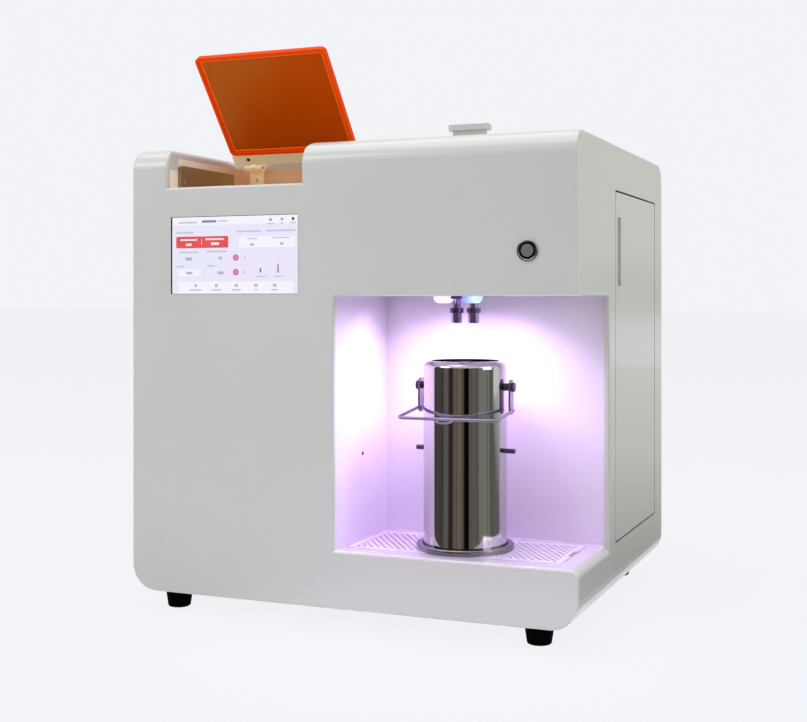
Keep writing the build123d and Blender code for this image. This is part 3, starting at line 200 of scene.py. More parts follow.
@dataclass(frozen=True)
class Finish:
    """Common ground of every finish: a named material with one Principled shader.

    Attributes:
        name: Real material and how its surface was made.
        colour: sRGB hex of the surface.
        roughness: Mean roughness.
    """

    name: str
    colour: str
    roughness: float = 0.4

    def start(self) -> tuple[bpy.types.Material, bpy.types.NodeTree, bpy.types.Node, bpy.types.NodeSocket]:
        """Makes the material.

        Returns:
            The material, its tree, its Principled node and the Object coordinate socket.
        """
        material, tree = bare_material(self.name)
        shader = add_node(tree, "ShaderNodeBsdfPrincipled", inputs={
            "Base Color": linear(self.colour), "Roughness": self.roughness})
        add_node(tree, "ShaderNodeOutputMaterial", inputs={"Surface": shader.outputs[0]})
        place = add_node(tree, "ShaderNodeTexCoord").outputs["Object"]
        material.diffuse_color = linear(self.colour)
        return material, tree, shader, place

    def paint_glow(self, shader: bpy.types.Node, colour: str, strength: float) -> None:
        """Paints a glow into the surface, which shines a little by itself though it is no lamp.

        Args:
            shader: Principled node.
            colour: sRGB hex of the shine.
            strength: Its strength.
        """
        shader.inputs["Emission Color"].default_value = linear(colour)
        shader.inputs["Emission Strength"].default_value = strength

    def tinted(self, tree: bpy.types.NodeTree, shader: bpy.types.Node, place: bpy.types.NodeSocket,
               spread: float, size: float) -> None:
        """Gives the colour a soft, broad variation.

        Args:
            tree: Node tree.
            shader: Principled node.
            place: Coordinate socket.
            spread: Share by which the colour darkens at most.
            size: Width of the patches in metres.
        """
        cloud = add_node(tree, "ShaderNodeTexNoise", inputs={
            "Vector": place, "Scale": 1 / size, "Detail": 3.0})
        ramp = add_node(tree, "ShaderNodeValToRGB", inputs={0: cloud.outputs["Fac"]})
        base = np.array(linear(self.colour)[:3])
        ramp_stops(ramp, [(0.35, (*(base * (1 - spread)), 1)), (0.65, (*base, 1))])
        tree.links.new(ramp.outputs[0], shader.inputs["Base Color"])

    def grained(self, tree: bpy.types.NodeTree, shader: bpy.types.Node, place: bpy.types.NodeSocket,
                size: float, depth: float, detail: float = 2.0) -> None:
        """Gives the surface a fine bump.

        Args:
            tree: Node tree.
            shader: Principled node.
            place: Coordinate socket.
            size: Width of the grain in metres.
            depth: Height of the grain in metres.
            detail: Octaves of the noise.
        """
        grain = add_node(tree, "ShaderNodeTexNoise", inputs={
            "Vector": place, "Scale": 1 / size, "Detail": detail})
        bump = add_node(tree, "ShaderNodeBump", inputs={
            "Height": grain.outputs["Fac"], "Distance": depth, "Strength": 0.6})
        tree.links.new(bump.outputs[0], shader.inputs["Normal"])


@dataclass(frozen=True)
class Enamel(Finish):
    """Baked enamel on sheet steel: a clear gloss over a faint orange peel, a little greyer in broad patches.

    Attributes:
        coat: Weight of the gloss.
        peel: Width of the orange peel's dimples.
        peel_depth: Depth of the dimples.
        glow: Strength of a painted glow, which stands in for the light that falls on sheet under the orange
            lid.
        painted_glow_colour: sRGB hex of that painted glow.
    """

    coat: float = 0.5
    peel: float = 2.2 * MM
    peel_depth: float = 0.010 * MM
    glow: float = 0.0
    painted_glow_colour: str = "#FFFFFF"

    def lacquer(self, shader: bpy.types.Node) -> None:
        """Lays the gloss over the colour."""
        shader.inputs["Coat Weight"].default_value = self.coat
        shader.inputs["Coat Roughness"].default_value = 0.06

    def make(self) -> bpy.types.Material:
        """Builds the material.

        Returns:
            The material.
        """
        material, tree, shader, place = self.start()
        self.lacquer(shader)
        # Painted glow, where the enamel has one: it shines by itself though it is no lamp
        self.paint_glow(shader, self.painted_glow_colour, self.glow)
        self.tinted(tree, shader, place, 0.03, 0.18)
        self.grained(tree, shader, place, self.peel, self.peel_depth)
        return material


@dataclass(frozen=True)
class WellEnamel(Enamel):
    """Baked enamel in the lid well: cream in front, with painted amber light at the back, where the light
    falls through the lid, and a painted glow.

    Attributes:
        rear: sRGB hex of the painted amber light at the back.
        reach: Y where the change of colour begins and ends.
        drift: How far patches of it wander forwards and back.
        painted_front_glow: sRGB hex of the painted glow in front.
    """

    rear: str = "#D29A66"
    reach: tuple[float, float] = (-160.0 * MM, -50.0 * MM)
    drift: float = 12.0 * MM
    painted_front_glow: str = "#FFF3E4"

    def make(self) -> bpy.types.Material:
        """Builds the material.

        Returns:
            The material.
        """
        material, tree, shader, place = self.start()
        self.lacquer(shader)
        axes = add_node(tree, "ShaderNodeSeparateXYZ", inputs={0: place})
        cloud = add_node(tree, "ShaderNodeTexNoise", inputs={"Vector": place, "Scale": 18.0, "Detail": 2.0})
        spread = add_node(tree, "ShaderNodeMapRange", inputs={
            "Value": cloud.outputs["Fac"], "To Min": -self.drift, "To Max": self.drift})
        depth = add_node(tree, "ShaderNodeMath", inputs={0: axes.outputs["Y"], 1: spread.outputs[0]})
        share = add_node(tree, "ShaderNodeMapRange", {"interpolation_type": "SMOOTHSTEP"}, {
            "Value": depth.outputs[0], "From Min": self.reach[0], "From Max": self.reach[1]})
        # Painted light: the colour turns from cream to the amber of the light through the lid towards the
        # back
        mix = add_node(tree, "ShaderNodeMix", {"data_type": "RGBA"}, {
            0: share.outputs[0], 6: linear(self.colour), 7: linear(self.rear)})
        tree.links.new(mix.outputs[2], shader.inputs["Base Color"])
        # Painted glow: warm white in front, amber at the back
        painted_glow_mix = add_node(tree, "ShaderNodeMix", {"data_type": "RGBA"}, {
            0: share.outputs[0], 6: linear(self.painted_front_glow), 7: linear(self.painted_glow_colour)})
        tree.links.new(painted_glow_mix.outputs[2], shader.inputs["Emission Color"])
        shader.inputs["Emission Strength"].default_value = self.glow
        self.grained(tree, shader, place, self.peel, self.peel_depth)
        return material


@dataclass(frozen=True)
class BrushedSteel(Finish):
    """Brushed sheet metal: hairlines 0.15 mm apart along one axis, drawn 0.4 mm apart so that they show.

    Attributes:
        along: Axis that the hairlines run along.
        hairline: Distance between two of them.
        metallic: Share of bare metal, which is less where the sheet was blasted to a dull grey.
    """

    along: Grain = Grain.Y
    hairline: float = 0.4 * MM
    metallic: float = 1.0

    def make(self) -> bpy.types.Material:
        """Builds the material.

        Returns:
            The material.
        """
        material, tree, shader, place = self.start()
        shader.inputs["Metallic"].default_value = self.metallic
        shader.inputs["Anisotropic"].default_value = 0.5
        stretched = add_node(tree, "ShaderNodeMapping", inputs={"Vector": place, "Scale": self.along.value})
        lines = add_node(tree, "ShaderNodeTexNoise", inputs={
            "Vector": stretched.outputs[0], "Scale": 1 / self.hairline, "Detail": 3.0})
        rough = add_node(tree, "ShaderNodeMapRange", inputs={
            "Value": lines.outputs["Fac"], "To Min": self.roughness * 0.75, "To Max": self.roughness * 1.3})
        tree.links.new(rough.outputs[0], shader.inputs["Roughness"])
        bump = add_node(tree, "ShaderNodeBump", inputs={
            "Height": lines.outputs["Fac"], "Distance": 0.01 * MM, "Strength": 0.5})
        tree.links.new(bump.outputs[0], shader.inputs["Normal"])
        return material


@dataclass(frozen=True)
class PolishedSteel(Finish):
    """Electropolished stainless steel: a mirror with slow waves from the drawing of the sheet.

    Attributes:
        wave: Width of the waves.
        wave_depth: Depth of the waves.
    """

    wave: float = 22 * MM
    wave_depth: float = 0.05 * MM

    def make(self) -> bpy.types.Material:
        """Builds the material.

        Returns:
            The material.
        """
        material, tree, shader, place = self.start()
        shader.inputs["Metallic"].default_value = 1.0
        self.grained(tree, shader, place, self.wave, self.wave_depth, 1.0)
        smear = add_node(tree, "ShaderNodeTexNoise", inputs={"Vector": place, "Scale": 60.0, "Detail": 4.0})
        rough = add_node(tree, "ShaderNodeMapRange", inputs={
            "Value": smear.outputs["Fac"], "To Min": self.roughness * 0.6, "To Max": self.roughness * 1.6})
        tree.links.new(rough.outputs[0], shader.inputs["Roughness"])
        return material


@dataclass(frozen=True)
class Moulded(Finish):
    """Injection-moulded ABS, nylon or rubber: a fine spark-eroded grain and a slight change of tone.

    Attributes:
        grain: Width of the grain.
        grain_depth: Height of the grain.
        coat: Weight of a gloss over it.
        specular: Strength of its shine.
        glow: Strength of its painted glow.
        painted_glow_colour: sRGB hex of that painted glow.
    """

    grain: float = 0.5 * MM
    grain_depth: float = 0.02 * MM
    coat: float = 0.0
    specular: float = 0.5
    glow: float = 0.0
    painted_glow_colour: str = "#FFFFFF"

    def make(self) -> bpy.types.Material:
        """Builds the material.

        Returns:
            The material.
        """
        material, tree, shader, place = self.start()
        shader.inputs["Coat Weight"].default_value = self.coat
        shader.inputs["Specular IOR Level"].default_value = self.specular
        # Painted glow, where the moulding has one: it shines by itself though it is no lamp
        self.paint_glow(shader, self.painted_glow_colour, self.glow)
        self.tinted(tree, shader, place, 0.08, 0.03)
        self.grained(tree, shader, place, self.grain, self.grain_depth)
        return material


@dataclass(frozen=True)
class TintedAcrylic(Finish):
    """Cast acrylic, dyed through, with painted light: its thick rim is painted bright where the light leaves
    the edge, its thin middle darker in painted shade, and all of it glows.

    Attributes:
        middle: sRGB hex of the thin middle's painted shade at the upper right.
        painted_lower_left_middle: sRGB hex of the thin middle's painted shade at the lower left, lighter
            there.
        centre: Middle of the sheet.
        turn: Angle by which the sheet is turned about X.
        half: Half the middle's width and length.
        blur: Half the width over which the rim's colour gives way to the middle's.
        fade: Where the change from lower left to upper right begins and ends, as X - Z from the centre.
        drift: How far patches of that change wander.
        glow: Strength of its painted glow.
    """

    middle: str = "#B24303"
    painted_lower_left_middle: str = "#AE5516"
    centre: tuple[float, float, float] = (0.0, 0.0, 0.0)
    turn: float = 0.0
    half: tuple[float, float] = (77.5 * MM, 61.5 * MM)
    blur: float = 1.5 * MM
    fade: tuple[float, float] = (-85.0 * MM, 20.0 * MM)
    drift: float = 50.0 * MM
    glow: float = 0.22

    def make(self) -> bpy.types.Material:
        """Builds the material.

        Returns:
            The material.
        """
        material, tree, shader, place = self.start()
        flat = add_node(tree, "ShaderNodeMapping", {"vector_type": "TEXTURE"}, {
            "Vector": place, "Location": self.centre, "Rotation": (self.turn, 0.0, 0.0)})
        axes = add_node(tree, "ShaderNodeSeparateXYZ", inputs={0: flat.outputs[0]})
        masks = []
        for socket, reach in ((axes.outputs["X"], self.half[0]), (axes.outputs["Y"], self.half[1])):
            size = add_node(tree, "ShaderNodeMath", {"operation": "ABSOLUTE"}, {0: socket})
            masks.append(add_node(tree, "ShaderNodeMapRange", {"interpolation_type": "SMOOTHSTEP"}, {
                "Value": size.outputs[0], "From Min": reach - self.blur, "From Max": reach + self.blur,
                "To Min": 1.0, "To Max": 0.0}).outputs[0])
        inside = add_node(tree, "ShaderNodeMath", {"operation": "MULTIPLY"}, {0: masks[0], 1: masks[1]})
        upright = add_node(tree, "ShaderNodeSeparateXYZ", inputs={0: place})
        across = add_node(tree, "ShaderNodeMath", {"operation": "SUBTRACT"}, {
            0: upright.outputs["X"], 1: upright.outputs["Z"]})
        cloud = add_node(tree, "ShaderNodeTexNoise", inputs={"Vector": place, "Scale": 22.0, "Detail": 2.0})
        spread = add_node(tree, "ShaderNodeMapRange", inputs={
            "Value": cloud.outputs["Fac"], "To Min": -self.drift, "To Max": self.drift})
        moved = add_node(tree, "ShaderNodeMath", inputs={0: across.outputs[0], 1: spread.outputs[0]})
        corner = self.centre[0] - self.centre[2]
        share = add_node(tree, "ShaderNodeMapRange", {"interpolation_type": "SMOOTHSTEP"}, {
            "Value": moved.outputs[0], "From Min": corner + self.fade[0], "From Max": corner + self.fade[1]})
        # Painted shade in the thin middle, lighter towards the lower left than at the upper right
        dark = add_node(tree, "ShaderNodeMix", {"data_type": "RGBA"}, {
            0: share.outputs[0], 6: linear(self.painted_lower_left_middle), 7: linear(self.middle)})
        # Painted light: the rim keeps the bright orange, and the middle takes the painted shade
        colour = add_node(tree, "ShaderNodeMix", {"data_type": "RGBA"}, {
            0: inside.outputs[0], 6: linear(self.colour), 7: dark.outputs[2]})
        tree.links.new(colour.outputs[2], shader.inputs["Base Color"])
        shader.inputs["Specular IOR Level"].default_value = 0.03
        # Painted glow: the pane shines by itself in these colours
        tree.links.new(colour.outputs[2], shader.inputs["Emission Color"])
        shader.inputs["Emission Strength"].default_value = self.glow
        self.grained(tree, shader, place, 6 * MM, 0.03 * MM)
        return material


@dataclass(frozen=True)
class CircuitBoard(Finish):
    """Fibreglass board under green solder mask, with tracks between its pads and black parts standing on it.

    Attributes:
        pitch: Distance between two pads.
        axis: Axis that the parts stand up along.
        parts_from: Place on that axis where the board ends and its parts begin.
    """

    pitch: float = 2.5 * MM
    axis: str = "X"
    parts_from: float = 159.7 * MM

    def make(self) -> bpy.types.Material:
        """Builds the material.

        Returns:
            The material.
        """
        material, tree, shader, place = self.start()
        tracks = add_node(tree, "ShaderNodeTexBrick", inputs={
            "Vector": place, "Scale": 1 / self.pitch / 4, "Mortar Size": 0.03,
            "Color1": linear(self.colour), "Color2": linear("#0E5530"), "Mortar": linear("#2E8B57")})
        axes = add_node(tree, "ShaderNodeSeparateXYZ", inputs={0: place})
        stands = add_node(tree, "ShaderNodeMath", {"operation": "GREATER_THAN"}, {
            0: axes.outputs[self.axis], 1: self.parts_from})
        cloud = add_node(tree, "ShaderNodeTexNoise", inputs={"Vector": place, "Scale": 24.0, "Detail": 0.0})
        moulded = add_node(tree, "ShaderNodeValToRGB", {}, {0: cloud.outputs["Fac"]})
        ramp_stops(moulded, [(0.47, linear("#15161A")), (0.53, linear("#33363C"))])
        mix = add_node(tree, "ShaderNodeMix", {"data_type": "RGBA"}, {
            0: stands.outputs[0], 6: tracks.outputs["Color"], 7: moulded.outputs[0]})
        tree.links.new(mix.outputs[2], shader.inputs["Base Color"])
        self.grained(tree, shader, place, 1.5 * MM, 0.05 * MM)
        return material


@dataclass(frozen=True)
class Silicone(Finish):
    """Extruded silicone hose: milky, soft and slightly sticky."""

    def make(self) -> bpy.types.Material:
        """Builds the material.

        Returns:
            The material.
        """
        material, tree, shader, place = self.start()
        shader.inputs["Transmission Weight"].default_value = 0.2
        shader.inputs["Subsurface Weight"].default_value = 0.3
        shader.inputs["Subsurface Scale"].default_value = 0.002
        self.grained(tree, shader, place, 3 * MM, 0.03 * MM)
        return material


@dataclass(frozen=True)
class Lit(Finish):
    """A surface that shines by itself, such as a display's pixels or a lamp's lens.

    Attributes:
        glow: Strength of its light.
        shade: Second colour that it drifts towards in patches, or none.
        dark: Colour of the surface when unlit.
        patch: Patches per metre.
    """

    glow: float = 1.0
    shade: str = ""
    dark: str = "#18181C"
    patch: float = 25.0

    def make(self) -> bpy.types.Material:
        """Builds the material.

        Returns:
            The material.
        """
        material, tree, shader, place = self.start()
        shader.inputs["Base Color"].default_value = linear(self.dark)
        shader.inputs["Emission Strength"].default_value = self.glow
        cloud = add_node(tree, "ShaderNodeTexNoise", inputs={
            "Vector": place, "Scale": self.patch, "Detail": 1.0})
        ramp = add_node(tree, "ShaderNodeValToRGB", inputs={0: cloud.outputs["Fac"]})
        colours = (self.shade or self.colour, self.colour)
        ramp_stops(ramp, [(stop, linear(colour)) for stop, colour in zip((0.38, 0.62), colours)])
        tree.links.new(ramp.outputs[0], shader.inputs["Emission Color"])
        return material


@dataclass(frozen=True)
class LampLens(Finish):
    """Frosted lenses of the two lamps: the left shines warm white, the right cool white with a violet rim.

    Attributes:
        span: X of the left lens's left rim and of the right lens's right rim.
        tones: Place from 0 to 1 along the span, and sRGB hex, of each tone.
    """

    span: tuple[float, float] = (88.0 * MM, 146.0 * MM)
    tones: tuple = ((0.0, "#E9C8F6"), (0.10, "#FFF8FC"), (0.42, "#FFF0FC"), (0.52, "#7A48E6"),
                    (0.62, "#8A7CF6"), (0.74, "#9CCBFF"), (0.86, "#E4FCFF"), (1.0, "#B4E6F2"))

    def make(self) -> bpy.types.Material:
        """Builds the material.

        Returns:
            The material.
        """
        material, tree, shader, place = self.start()
        axes = add_node(tree, "ShaderNodeSeparateXYZ", inputs={0: place})
        across = add_node(tree, "ShaderNodeMapRange", inputs={
            "Value": axes.outputs["X"], "From Min": self.span[0], "From Max": self.span[1]})
        ramp = add_node(tree, "ShaderNodeValToRGB", inputs={0: across.outputs[0]})
        ramp_stops(ramp, [(stop, linear(colour)) for stop, colour in self.tones])
        tree.links.new(ramp.outputs[0], shader.inputs["Emission Color"])
        shader.inputs["Base Color"].default_value = linear("#4A4058")
        shader.inputs["Emission Strength"].default_value = 1.0
        self.grained(tree, shader, place, 0.8 * MM, 0.02 * MM)
        return material


# Baked enamel: warm white and glossy outside, with a darker copy for the right side that carries painted
# shade, white with a painted lilac tint in the bay, and cream round the orange lid with painted amber light
# and a painted glow
WHITE = Enamel("baked_enamel_warm_white", "#D9D9D5", 0.32)
# Painted shade: a darker, greener copy of the cabinet's white enamel for the right side panel and the side
# door
SHADED_SIDE_WHITE = Enamel("baked_enamel_white_painted_side_shade", "#CED0C5", 0.30, coat=0.7)
# Painted light: white enamel with the lilac cast of the bay's violet lamps painted into its colour
BAY_WHITE = Enamel("gloss_enamel_bay_white", "#EEE6F2", 0.22, coat=0.8)
# Painted glow: the cream hinge parts shine amber by themselves, for the light through the orange lid
CREAM = Enamel("baked_enamel_cream", "#F6E6CC", 0.4, coat=0.2, glow=0.2, painted_glow_colour="#FFCB7A")
# Painted light: the well's enamel turns amber towards the back and glows, for the light through the orange
# lid
WELL_WHITE = WellEnamel("baked_enamel_well", "#EFE6D2", 0.3, glow=0.13, painted_glow_colour="#FFC794")
MOTOR = Enamel("black_motor_enamel", "#1D1D20", 0.4)
# Sheet metal: hairlines draw its shine out one way, and blasting leaves the grid an even, dull grey; the grid
# carries a painted lilac tint of the bay's lamps and the well plate a painted amber light of the lid
# Painted light: the amber of the light through the orange lid in the steel's colour
PLATE_STEEL = BrushedSteel("brushed_stainless_well_plate", "#AB9577", 0.3, Grain.Y)
# Painted light: the lilac cast of the bay's violet lamps in the grid's colour
GRID_STEEL = BrushedSteel("bead_blasted_stainless_grid", "#F2EAF8", 0.5, Grain.Y, metallic=0.3)
STEEL = BrushedSteel("brushed_stainless", "#B9B9BC", 0.28, Grain.Y)
ALUMINIUM = BrushedSteel("mill_aluminium_sheet", "#C4C6C9", 0.38, Grain.Z)
# Polished and turned steel: the canister mirrors the room, and wire, pins and screws hold darker glints; the
# wire, pins, collars and nozzle carry a painted violet tint of the bay's lamps
MIRROR = PolishedSteel("electropolished_stainless", "#C9C6C8", 0.07)
# Painted light: a violet tint of the bay's lamps in the wire's colour
WIRE = PolishedSteel("drawn_stainless_wire", "#A398AA", 0.32)
# Painted light: a violet tint of the bay's lamps in the pins' colour
PIN = PolishedSteel("turned_dark_pin", "#5A5260", 0.28)
# Painted light: a violet tint of the bay's lamps in the collars' colour
COLLAR = PolishedSteel("turned_stainless_collar", "#85759F", 0.3)
RING = PolishedSteel("turned_stainless_ring", "#8F8C90", 0.16)
BEZEL = PolishedSteel("turned_bright_bezel", "#A4A4A2", 0.17)
# Painted light: a strong violet tint of the bay's lamps in the nozzle's colour
TUBE = PolishedSteel("drawn_stainless_nozzle", "#C2ACEC", 0.14)
SCREW = PolishedSteel("turned_stainless_screw", "#BDBDC0", 0.2)
# Mouldings, machined plastic and blackened steel: dull and even, with rubber that swallows nearly all light;
# the blackened steel carries a painted violet tint
# Painted light: a violet tint of the bay's lamps in the blackened steel's colour
BLACKENED = Moulded("blackened_screw_steel", "#2E1838", 0.5)
BLACK_RUBBER = Moulded("moulded_nitrile_rubber", "#020202", 0.9, grain=0.8 * MM, specular=0.04)
BLACK_NYLON = Moulded("moulded_black_nylon", "#1A1A1C", 0.42)
GREY_ABS = Moulded("moulded_grey_abs", "#8A8B90", 0.45)
HOUSING = Moulded("moulded_dark_housing", "#4A4C50", 0.4)
WHITE_POM = Moulded("machined_white_acetal", "#DDDCD6", 0.35)
CAP = Moulded("satin_plated_cap", "#777779", 0.36, coat=0.3)
# Parts that shine: the lamps' lenses, and painted glows on the lamps' board and on the edge of the lid's pane
# Painted glow: the lamps' board shines violet by itself, though it is no lamp
PURPLE = Moulded("dark_purple_lamp_board", "#3A1E60", 0.4, glow=0.15, painted_glow_colour="#7A4DD0")
LENS = LampLens("lit_frosted_lens", "#FFF6FC", 0.3)
# Painted glow: a bright orange line that shines by itself along the edge of the lid's pane
PAINTED_EDGE_GLOW = Moulded("acrylic_edge_painted_glow", "#F58A34", 0.3, glow=0.2, painted_glow_colour="#F58A34")
# Boards and hoses: green mask under black parts, and milky tube
BOARD = CircuitBoard("green_circuit_board", "#0B4A2A", 0.35)
SCREEN_BOARD = CircuitBoard("green_screen_board", "#0B4A2A", 0.35, axis="Y", parts_from=-195.8 * MM)
HOSE = Silicone("milky_silicone_hose", "#DAD6C8", 0.3)

NODE_FINISHES: dict[str, Finish] = {
    # The right side panel and the side door wear the copy of the white with painted shade
    "front_panel": WHITE, "top_panel": WHITE, "left_side_panel": WHITE, "right_side_panel": SHADED_SIDE_WHITE,
    "rear_panel": WHITE, "base_pan": WHITE, "side_door": SHADED_SIDE_WHITE, "top_cover": WHITE,
    "rubber_feet": BLACK_RUBBER, "casing_screws": SCREW,
    "bay_side_wall": BAY_WHITE, "bay_back_wall": BAY_WHITE, "bay_ceiling": BAY_WHITE, "bay_deck": BAY_WHITE,
    "drip_tray": STEEL, "drip_grid": GRID_STEEL,
    "lid_well": WELL_WHITE, "well_side_plates": PLATE_STEEL, "tank": STEEL, "level_sensor": STEEL,
    "hinge_brackets": CREAM, "hinge_pins": SCREW, "hinge_plate": CREAM,
    "display_glass": BLACK_NYLON, "display_module": BLACK_NYLON, "display_board": SCREEN_BOARD,
    "button_bezel": BEZEL, "button_nut": SCREW, "button_cap": CAP,
    "nozzle_block": GREY_ABS, "nozzle_tubes": TUBE, "nozzle_collars": COLLAR, "nozzle_valves": BLACK_NYLON,
    "lamp_lenses": LENS, "lamp_board": PURPLE,
    "door_pivots": SCREW, "pivot_brackets": ALUMINIUM, "mounting_plate": ALUMINIUM,
    "pump_motors": MOTOR, "pump_housings": HOUSING, "pump_tubes": HOSE,
    "pump_rotor_a": WHITE_POM, "pump_rollers_a": STEEL, "pump_rotor_b": WHITE_POM, "pump_rollers_b": STEEL,
    "suction_hoses": HOSE, "dispense_hoses": HOSE, "control_board": BOARD, "power_supply": ALUMINIUM,
    "service_recess": ALUMINIUM, "power_inlet": BLACK_NYLON, "power_switch": BLACK_NYLON,
    "rocker": BLACK_RUBBER, "hose_barbs": STEEL,
    "canister_body": MIRROR, "canister_ring": RING, "canister_studs": PIN, "canister_arms": WIRE,
    "bail": WIRE,
}


class Workshop:
    """Turns numpy surfaces into pieces, and finishes into materials made once each.

    Attributes:
        made: Materials made so far, by name.
    """

    def __init__(self) -> None:
        """Starts with no materials made."""
        self.made: dict[str, bpy.types.Material] = {}

    def material(self, finish: Finish) -> bpy.types.Material:
        """Gives a finish's material, made the first time it is asked for.

        Args:
            finish: The finish.

        Returns:
            Its material.
        """
        if finish.name not in self.made:
            self.made[finish.name] = finish.make()
        return self.made[finish.name]

    def piece(self, name: str, points: np.ndarray, faces: list, finish: Finish, body: Body,
              slot: str, smooth: bool = False) -> bpy.types.Object:
        """Makes one piece from its corners and faces.

        Args:
            name: Name of the piece.
            points: Corners, one row each, in metres.
            faces: Corner numbers of each face.
            finish: What it is made of.
            body: What it rides on.
            slot: The record's material slot; not used.
            smooth: Whether it is shaded smooth.

        Returns:
            The new object.
        """
        mesh = bpy.data.meshes.new(name)
        mesh.from_pydata(points.tolist(), [], faces)
        mesh.update()
        if smooth:
            mesh.polygons.foreach_set("use_smooth", np.ones(len(mesh.polygons), dtype=bool))
            mesh.set_sharp_from_angle(angle=math.radians(35))
        mesh.materials.append(self.material(finish))
        thing = placed(name, mesh)
        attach(thing, body.value)
        LOG.info("%s: %d faces on %s", name, len(faces), body.value)
        return thing

    def dress(self, frame: dict, finishes: dict[str, Finish]) -> None:
        """Gives each frame node its finish.

        Args:
            frame: The loaded frame.
            finishes: Finish of each node by name.
        """
        for name, thing in frame["nodes"].items():
            material = self.material(finishes[name])
            for slot in thing.material_slots:
                slot.material = material
            if not thing.material_slots:
                thing.data.materials.append(material)
            LOG.info("%s dressed in %s", name, material.name)


def rounded_outline(width: float, height: float, radius: float, steps: int = 6) -> np.ndarray:
    """Outline of a rounded rectangle about the origin.

    Each corner is a quarter circle: centre plus radius times (cos t, sin t), with t over 90 degrees from the
    corner's own start.

    Args:
        width: Whole width.
        height: Whole height.
        radius: Corner radius.
        steps: Points per corner, less one.

    Returns:
        Points in order, anticlockwise, one row of (x, y) each.
    """
    turns = np.linspace(0.0, math.pi / 2, steps + 1)
    starts = np.repeat(np.arange(4) * math.pi / 2, steps + 1)
    angles = starts + np.tile(turns, 4)
    signs = np.array([(1, 1), (-1, 1), (-1, -1), (1, -1)], dtype=float)
    centres = np.repeat(signs * ((width / 2 - radius), (height / 2 - radius)), steps + 1, axis=0)
    return centres + radius * np.stack([np.cos(angles), np.sin(angles)], axis=1)


def slab(outline: np.ndarray, depth: float) -> tuple[np.ndarray, list]:
    """Flat plate of an outline: the outline at depth 0 and at depth, joined by a band of quads.

    Args:
        outline: Anticlockwise outline, one row of (x, y) each.
        depth: Thickness along the third axis.

    Returns:
        Points and faces, with the outline's plane at 0 and the faces pointing outwards.
    """
    count = len(outline)
    low = np.column_stack([outline, np.zeros(count)])
    high = np.column_stack([outline, np.full(count, depth)])
    ring = np.arange(count)
    after = (ring + 1) % count
    walls = np.stack([ring, after, after + count, ring + count], axis=1).tolist()
    return np.vstack([low, high]), [ring[::-1].tolist(), (ring + count).tolist()] + walls


def framed(outer: np.ndarray, inner: np.ndarray, depth: float) -> tuple[np.ndarray, list]:
    """Flat frame between two outlines of equal point count: two faces and two bands of walls.

    Args:
        outer: Anticlockwise outer outline, one row of (x, y) each.
        inner: Anticlockwise inner outline, point for point inside the outer one.
        depth: Thickness along the third axis, in either direction.

    Returns:
        Points and faces, with the outlines' plane at 0; the faces point outwards where depth is above 0.
    """
    count = len(outer)
    rings = [np.column_stack([ring, np.full(count, z)]) for ring, z in
             ((outer, 0.0), (outer, depth), (inner, depth), (inner, 0.0))]
    here = np.arange(count)
    after = (here + 1) % count
    faces = []
    for low, high in ((0, 1), (1, 2), (2, 3), (3, 0)):
        corners = [here + low * count, after + low * count, after + high * count, here + high * count]
        faces += np.stack(corners, axis=1).tolist()
    return np.vstack(rings), faces


def lattice(rings: int, count: int) -> np.ndarray:
    """Quads of a surface closed both ways: rings of points, the last ring joined to the first.

    Args:
        rings: Number of rings.
        count: Points on each ring.

    Returns:
        Four point numbers per quad, one row each.
    """
    ring, point = np.meshgrid(np.arange(rings), np.arange(count), indexing="ij")
    after, beside = (ring + 1) % rings, (point + 1) % count
    return np.stack([ring * count + point, ring * count + beside, after * count + beside,
                     after * count + point], axis=2).reshape(-1, 4)


def turned(profile: np.ndarray, centre: tuple[float, float], steps: int = 56) -> tuple[np.ndarray, list]:
    """Closed profile turned about an axis along Y: x = centre + r cos t, z = centre + r sin t.

    Args:
        profile: Corners of the profile in order, one row of (r, y) each.
        centre: X and Z of the axis.
        steps: Points round the axis.

    Returns:
        Points and faces.
    """
    turns = np.linspace(0.0, 2 * math.pi, steps + 1)[:-1]
    x = centre[0] + np.outer(np.cos(turns), profile[:, 0])
    z = centre[1] + np.outer(np.sin(turns), profile[:, 0])
    y = np.broadcast_to(profile[:, 1], x.shape)
    return np.stack([x, y, z], axis=2).reshape(-1, 3), lattice(steps, len(profile)).tolist()


def merged(parts: list[tuple[np.ndarray, list]]) -> tuple[np.ndarray, list]:
    """Puts several point and face sets into one, renumbering the faces.

    Args:
        parts: Points and faces of each set.

    Returns:
        Points and faces of all.
    """
    points, faces, start = [], [], 0
    for own_points, own_faces in parts:
        points.append(own_points)
        faces.extend([[index + start for index in face] for face in own_faces])
        start += len(own_points)
    return np.vstack(points), faces


